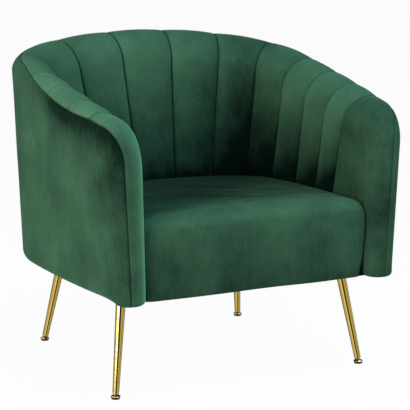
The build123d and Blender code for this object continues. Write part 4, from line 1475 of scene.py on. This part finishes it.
class ARMCHAIR_OT_stage(bpy.types.Operator):
    """Set up the floor, the light and the camera"""

    bl_idname = "armchair.stage"
    bl_label = "Stage"

    def execute(self, context):
        scene = context.scene
        scene.view_settings.view_transform = "Standard"
        self.add_camera(scene)
        self.add_floor()
        self.add_world(scene)
        for lamp in LAMPS:
            self.add_lamp(scene, *lamp)
        for number, card in enumerate(CARDS, 1):
            self.add_card(f"card_{number}", *card)
        return {"FINISHED"}

    def add_camera(self, scene):
        """Camera fitted to the photograph."""
        data = bpy.data.cameras.new("photo_camera")
        data.sensor_width = SENSOR
        data.lens = FOCAL_PIXELS / FRAME_PIXELS * SENSOR
        camera = bpy.data.objects.new("photo_camera", data)
        camera.location = EYE
        camera.rotation_euler = GAZE.to_track_quat("-Z", "Y").to_euler()
        scene.collection.objects.link(camera)
        scene.camera = camera

    def add_floor(self):
        """Pale floor that shows white and keeps a soft shadow."""
        finish = Finish("studio_floor")
        paint = finish.surface(Base_Color=FLOOR_TINT, Roughness=0.9, Specular_IOR_Level=0.1)
        painted = Shade(finish, finish.shader.outputs[0])
        glow = finish.node("ShaderNodeEmission", {}, {"Color": WHITE, "Strength": 1.0})
        finish.show(finish.seen_directly() * FLOOR_WHITE, painted, glow, "Material Output")
        ends = (-FLOOR_REACH, FLOOR_REACH)
        corners = [[Vector((x, y, 0)) for x in ends] for y in ends]
        floor = make_piece("studio_floor", [corners], paint)
        floor.visible_glossy = False

    def add_card(self, name, first, last, bright):
        """Curved card beyond the lamps and down past the floor, which shows only in mirror-like metal."""
        tint = opaque((bright, bright, bright))
        glow = Finish(name).surface(
            Base_Color=opaque((0, 0, 0)), Specular_IOR_Level=0.0, Emission_Color=tint, Emission_Strength=1.0)
        facing = math.degrees(math.atan2(EYE.y, EYE.x))
        ways = [heading(facing + angle) * CARD_DISTANCE for angle in steps(first, last, CARD_STEPS)]
        rows = [[Vector((way.x, way.y, height)) for way in ways] for height in (-CARD_DEPTH, CARD_HEIGHT)]
        card = make_piece(name, [rows], glow)
        card.visible_camera = False
        card.visible_diffuse = False
        card.visible_transmission = False
        card.visible_shadow = False

    def add_world(self, scene):
        """Even grey light that shows white where nothing stands."""
        scene.world = bpy.data.worlds.new("studio")
        graph = Graph(scene.world)
        ambient = graph.nodes["Background"]
        graph.give(ambient.inputs["Color"], AMBIENT)
        graph.give(ambient.inputs["Strength"], AMBIENT_STRENGTH)
        white = graph.node("ShaderNodeBackground", {}, {"Color": WHITE})
        graph.show(graph.seen_directly(), Shade(graph, ambient.outputs[0]), white, "World Output")

    def add_lamp(self, scene, name, place, target, size, power, tint):
        """Square soft box."""
        data = bpy.data.lights.new(name, "AREA")
        data.size = size
        data.energy = power
        data.color = tint
        lamp = bpy.data.objects.new(name, data)
        lamp.location = place
        lamp.rotation_euler = (Vector(target) - Vector(place)).to_track_quat("-Z", "Y").to_euler()
        scene.collection.objects.link(lamp)


class ARMCHAIR_PT_pieces(bpy.types.Panel):
    """Sidebar list of the chair's pieces"""

    bl_label = "Velvet Tub Armchair"
    bl_idname = "ARMCHAIR_PT_pieces"
    bl_space_type = "VIEW_3D"
    bl_region_type = "UI"
    bl_category = "Armchair"

    def draw(self, context):
        for operator in OPERATORS:
            self.layout.operator(operator.bl_idname)
        for group in GROUPS:
            settings = getattr(context.scene, group)
            box = self.layout.box()
            for name in settings.bl_rna.properties.keys():
                if name not in ("rna_type", "name"):
                    box.prop(settings, name)


GROUPS = {"armchair_wall": ArmchairWall, "armchair_channels": ArmchairChannels, "armchair_seat": ArmchairSeat,
          "armchair_look": ArmchairLook}
OPERATORS = (ARMCHAIR_OT_stage, ARMCHAIR_OT_outer_cover, ARMCHAIR_OT_channels, ARMCHAIR_OT_arm_fronts,
             ARMCHAIR_OT_seat, ARMCHAIR_OT_dust_cover, ARMCHAIR_OT_sewing, ARMCHAIR_OT_legs,
             ARMCHAIR_OT_frame_pieces)


def register():
    """Adds the settings, operators and panel."""
    for name, group in GROUPS.items():
        bpy.utils.register_class(group)
        setattr(bpy.types.Scene, name, bpy.props.PointerProperty(type=group))
    for operator in OPERATORS:
        bpy.utils.register_class(operator)
    bpy.utils.register_class(ARMCHAIR_PT_pieces)


def unregister():
    """Takes them away again."""
    bpy.utils.unregister_class(ARMCHAIR_PT_pieces)
    for operator in reversed(OPERATORS):
        bpy.utils.unregister_class(operator)
    for name, group in reversed(GROUPS.items()):
        delattr(bpy.types.Scene, name)
        bpy.utils.unregister_class(group)


def main():
    """Builds the chair piece by piece."""
    register()
    bpy.ops.armchair.stage()
    bpy.ops.armchair.outer_cover()
    bpy.ops.armchair.channels()
    bpy.ops.armchair.arm_fronts()
    bpy.ops.armchair.seat()
    bpy.ops.armchair.dust_cover()
    bpy.ops.armchair.sewing()
    bpy.ops.armchair.legs()
    bpy.ops.armchair.frame_pieces()
    bpy.context.view_layer.update()


if __name__ == "__main__":
    main()
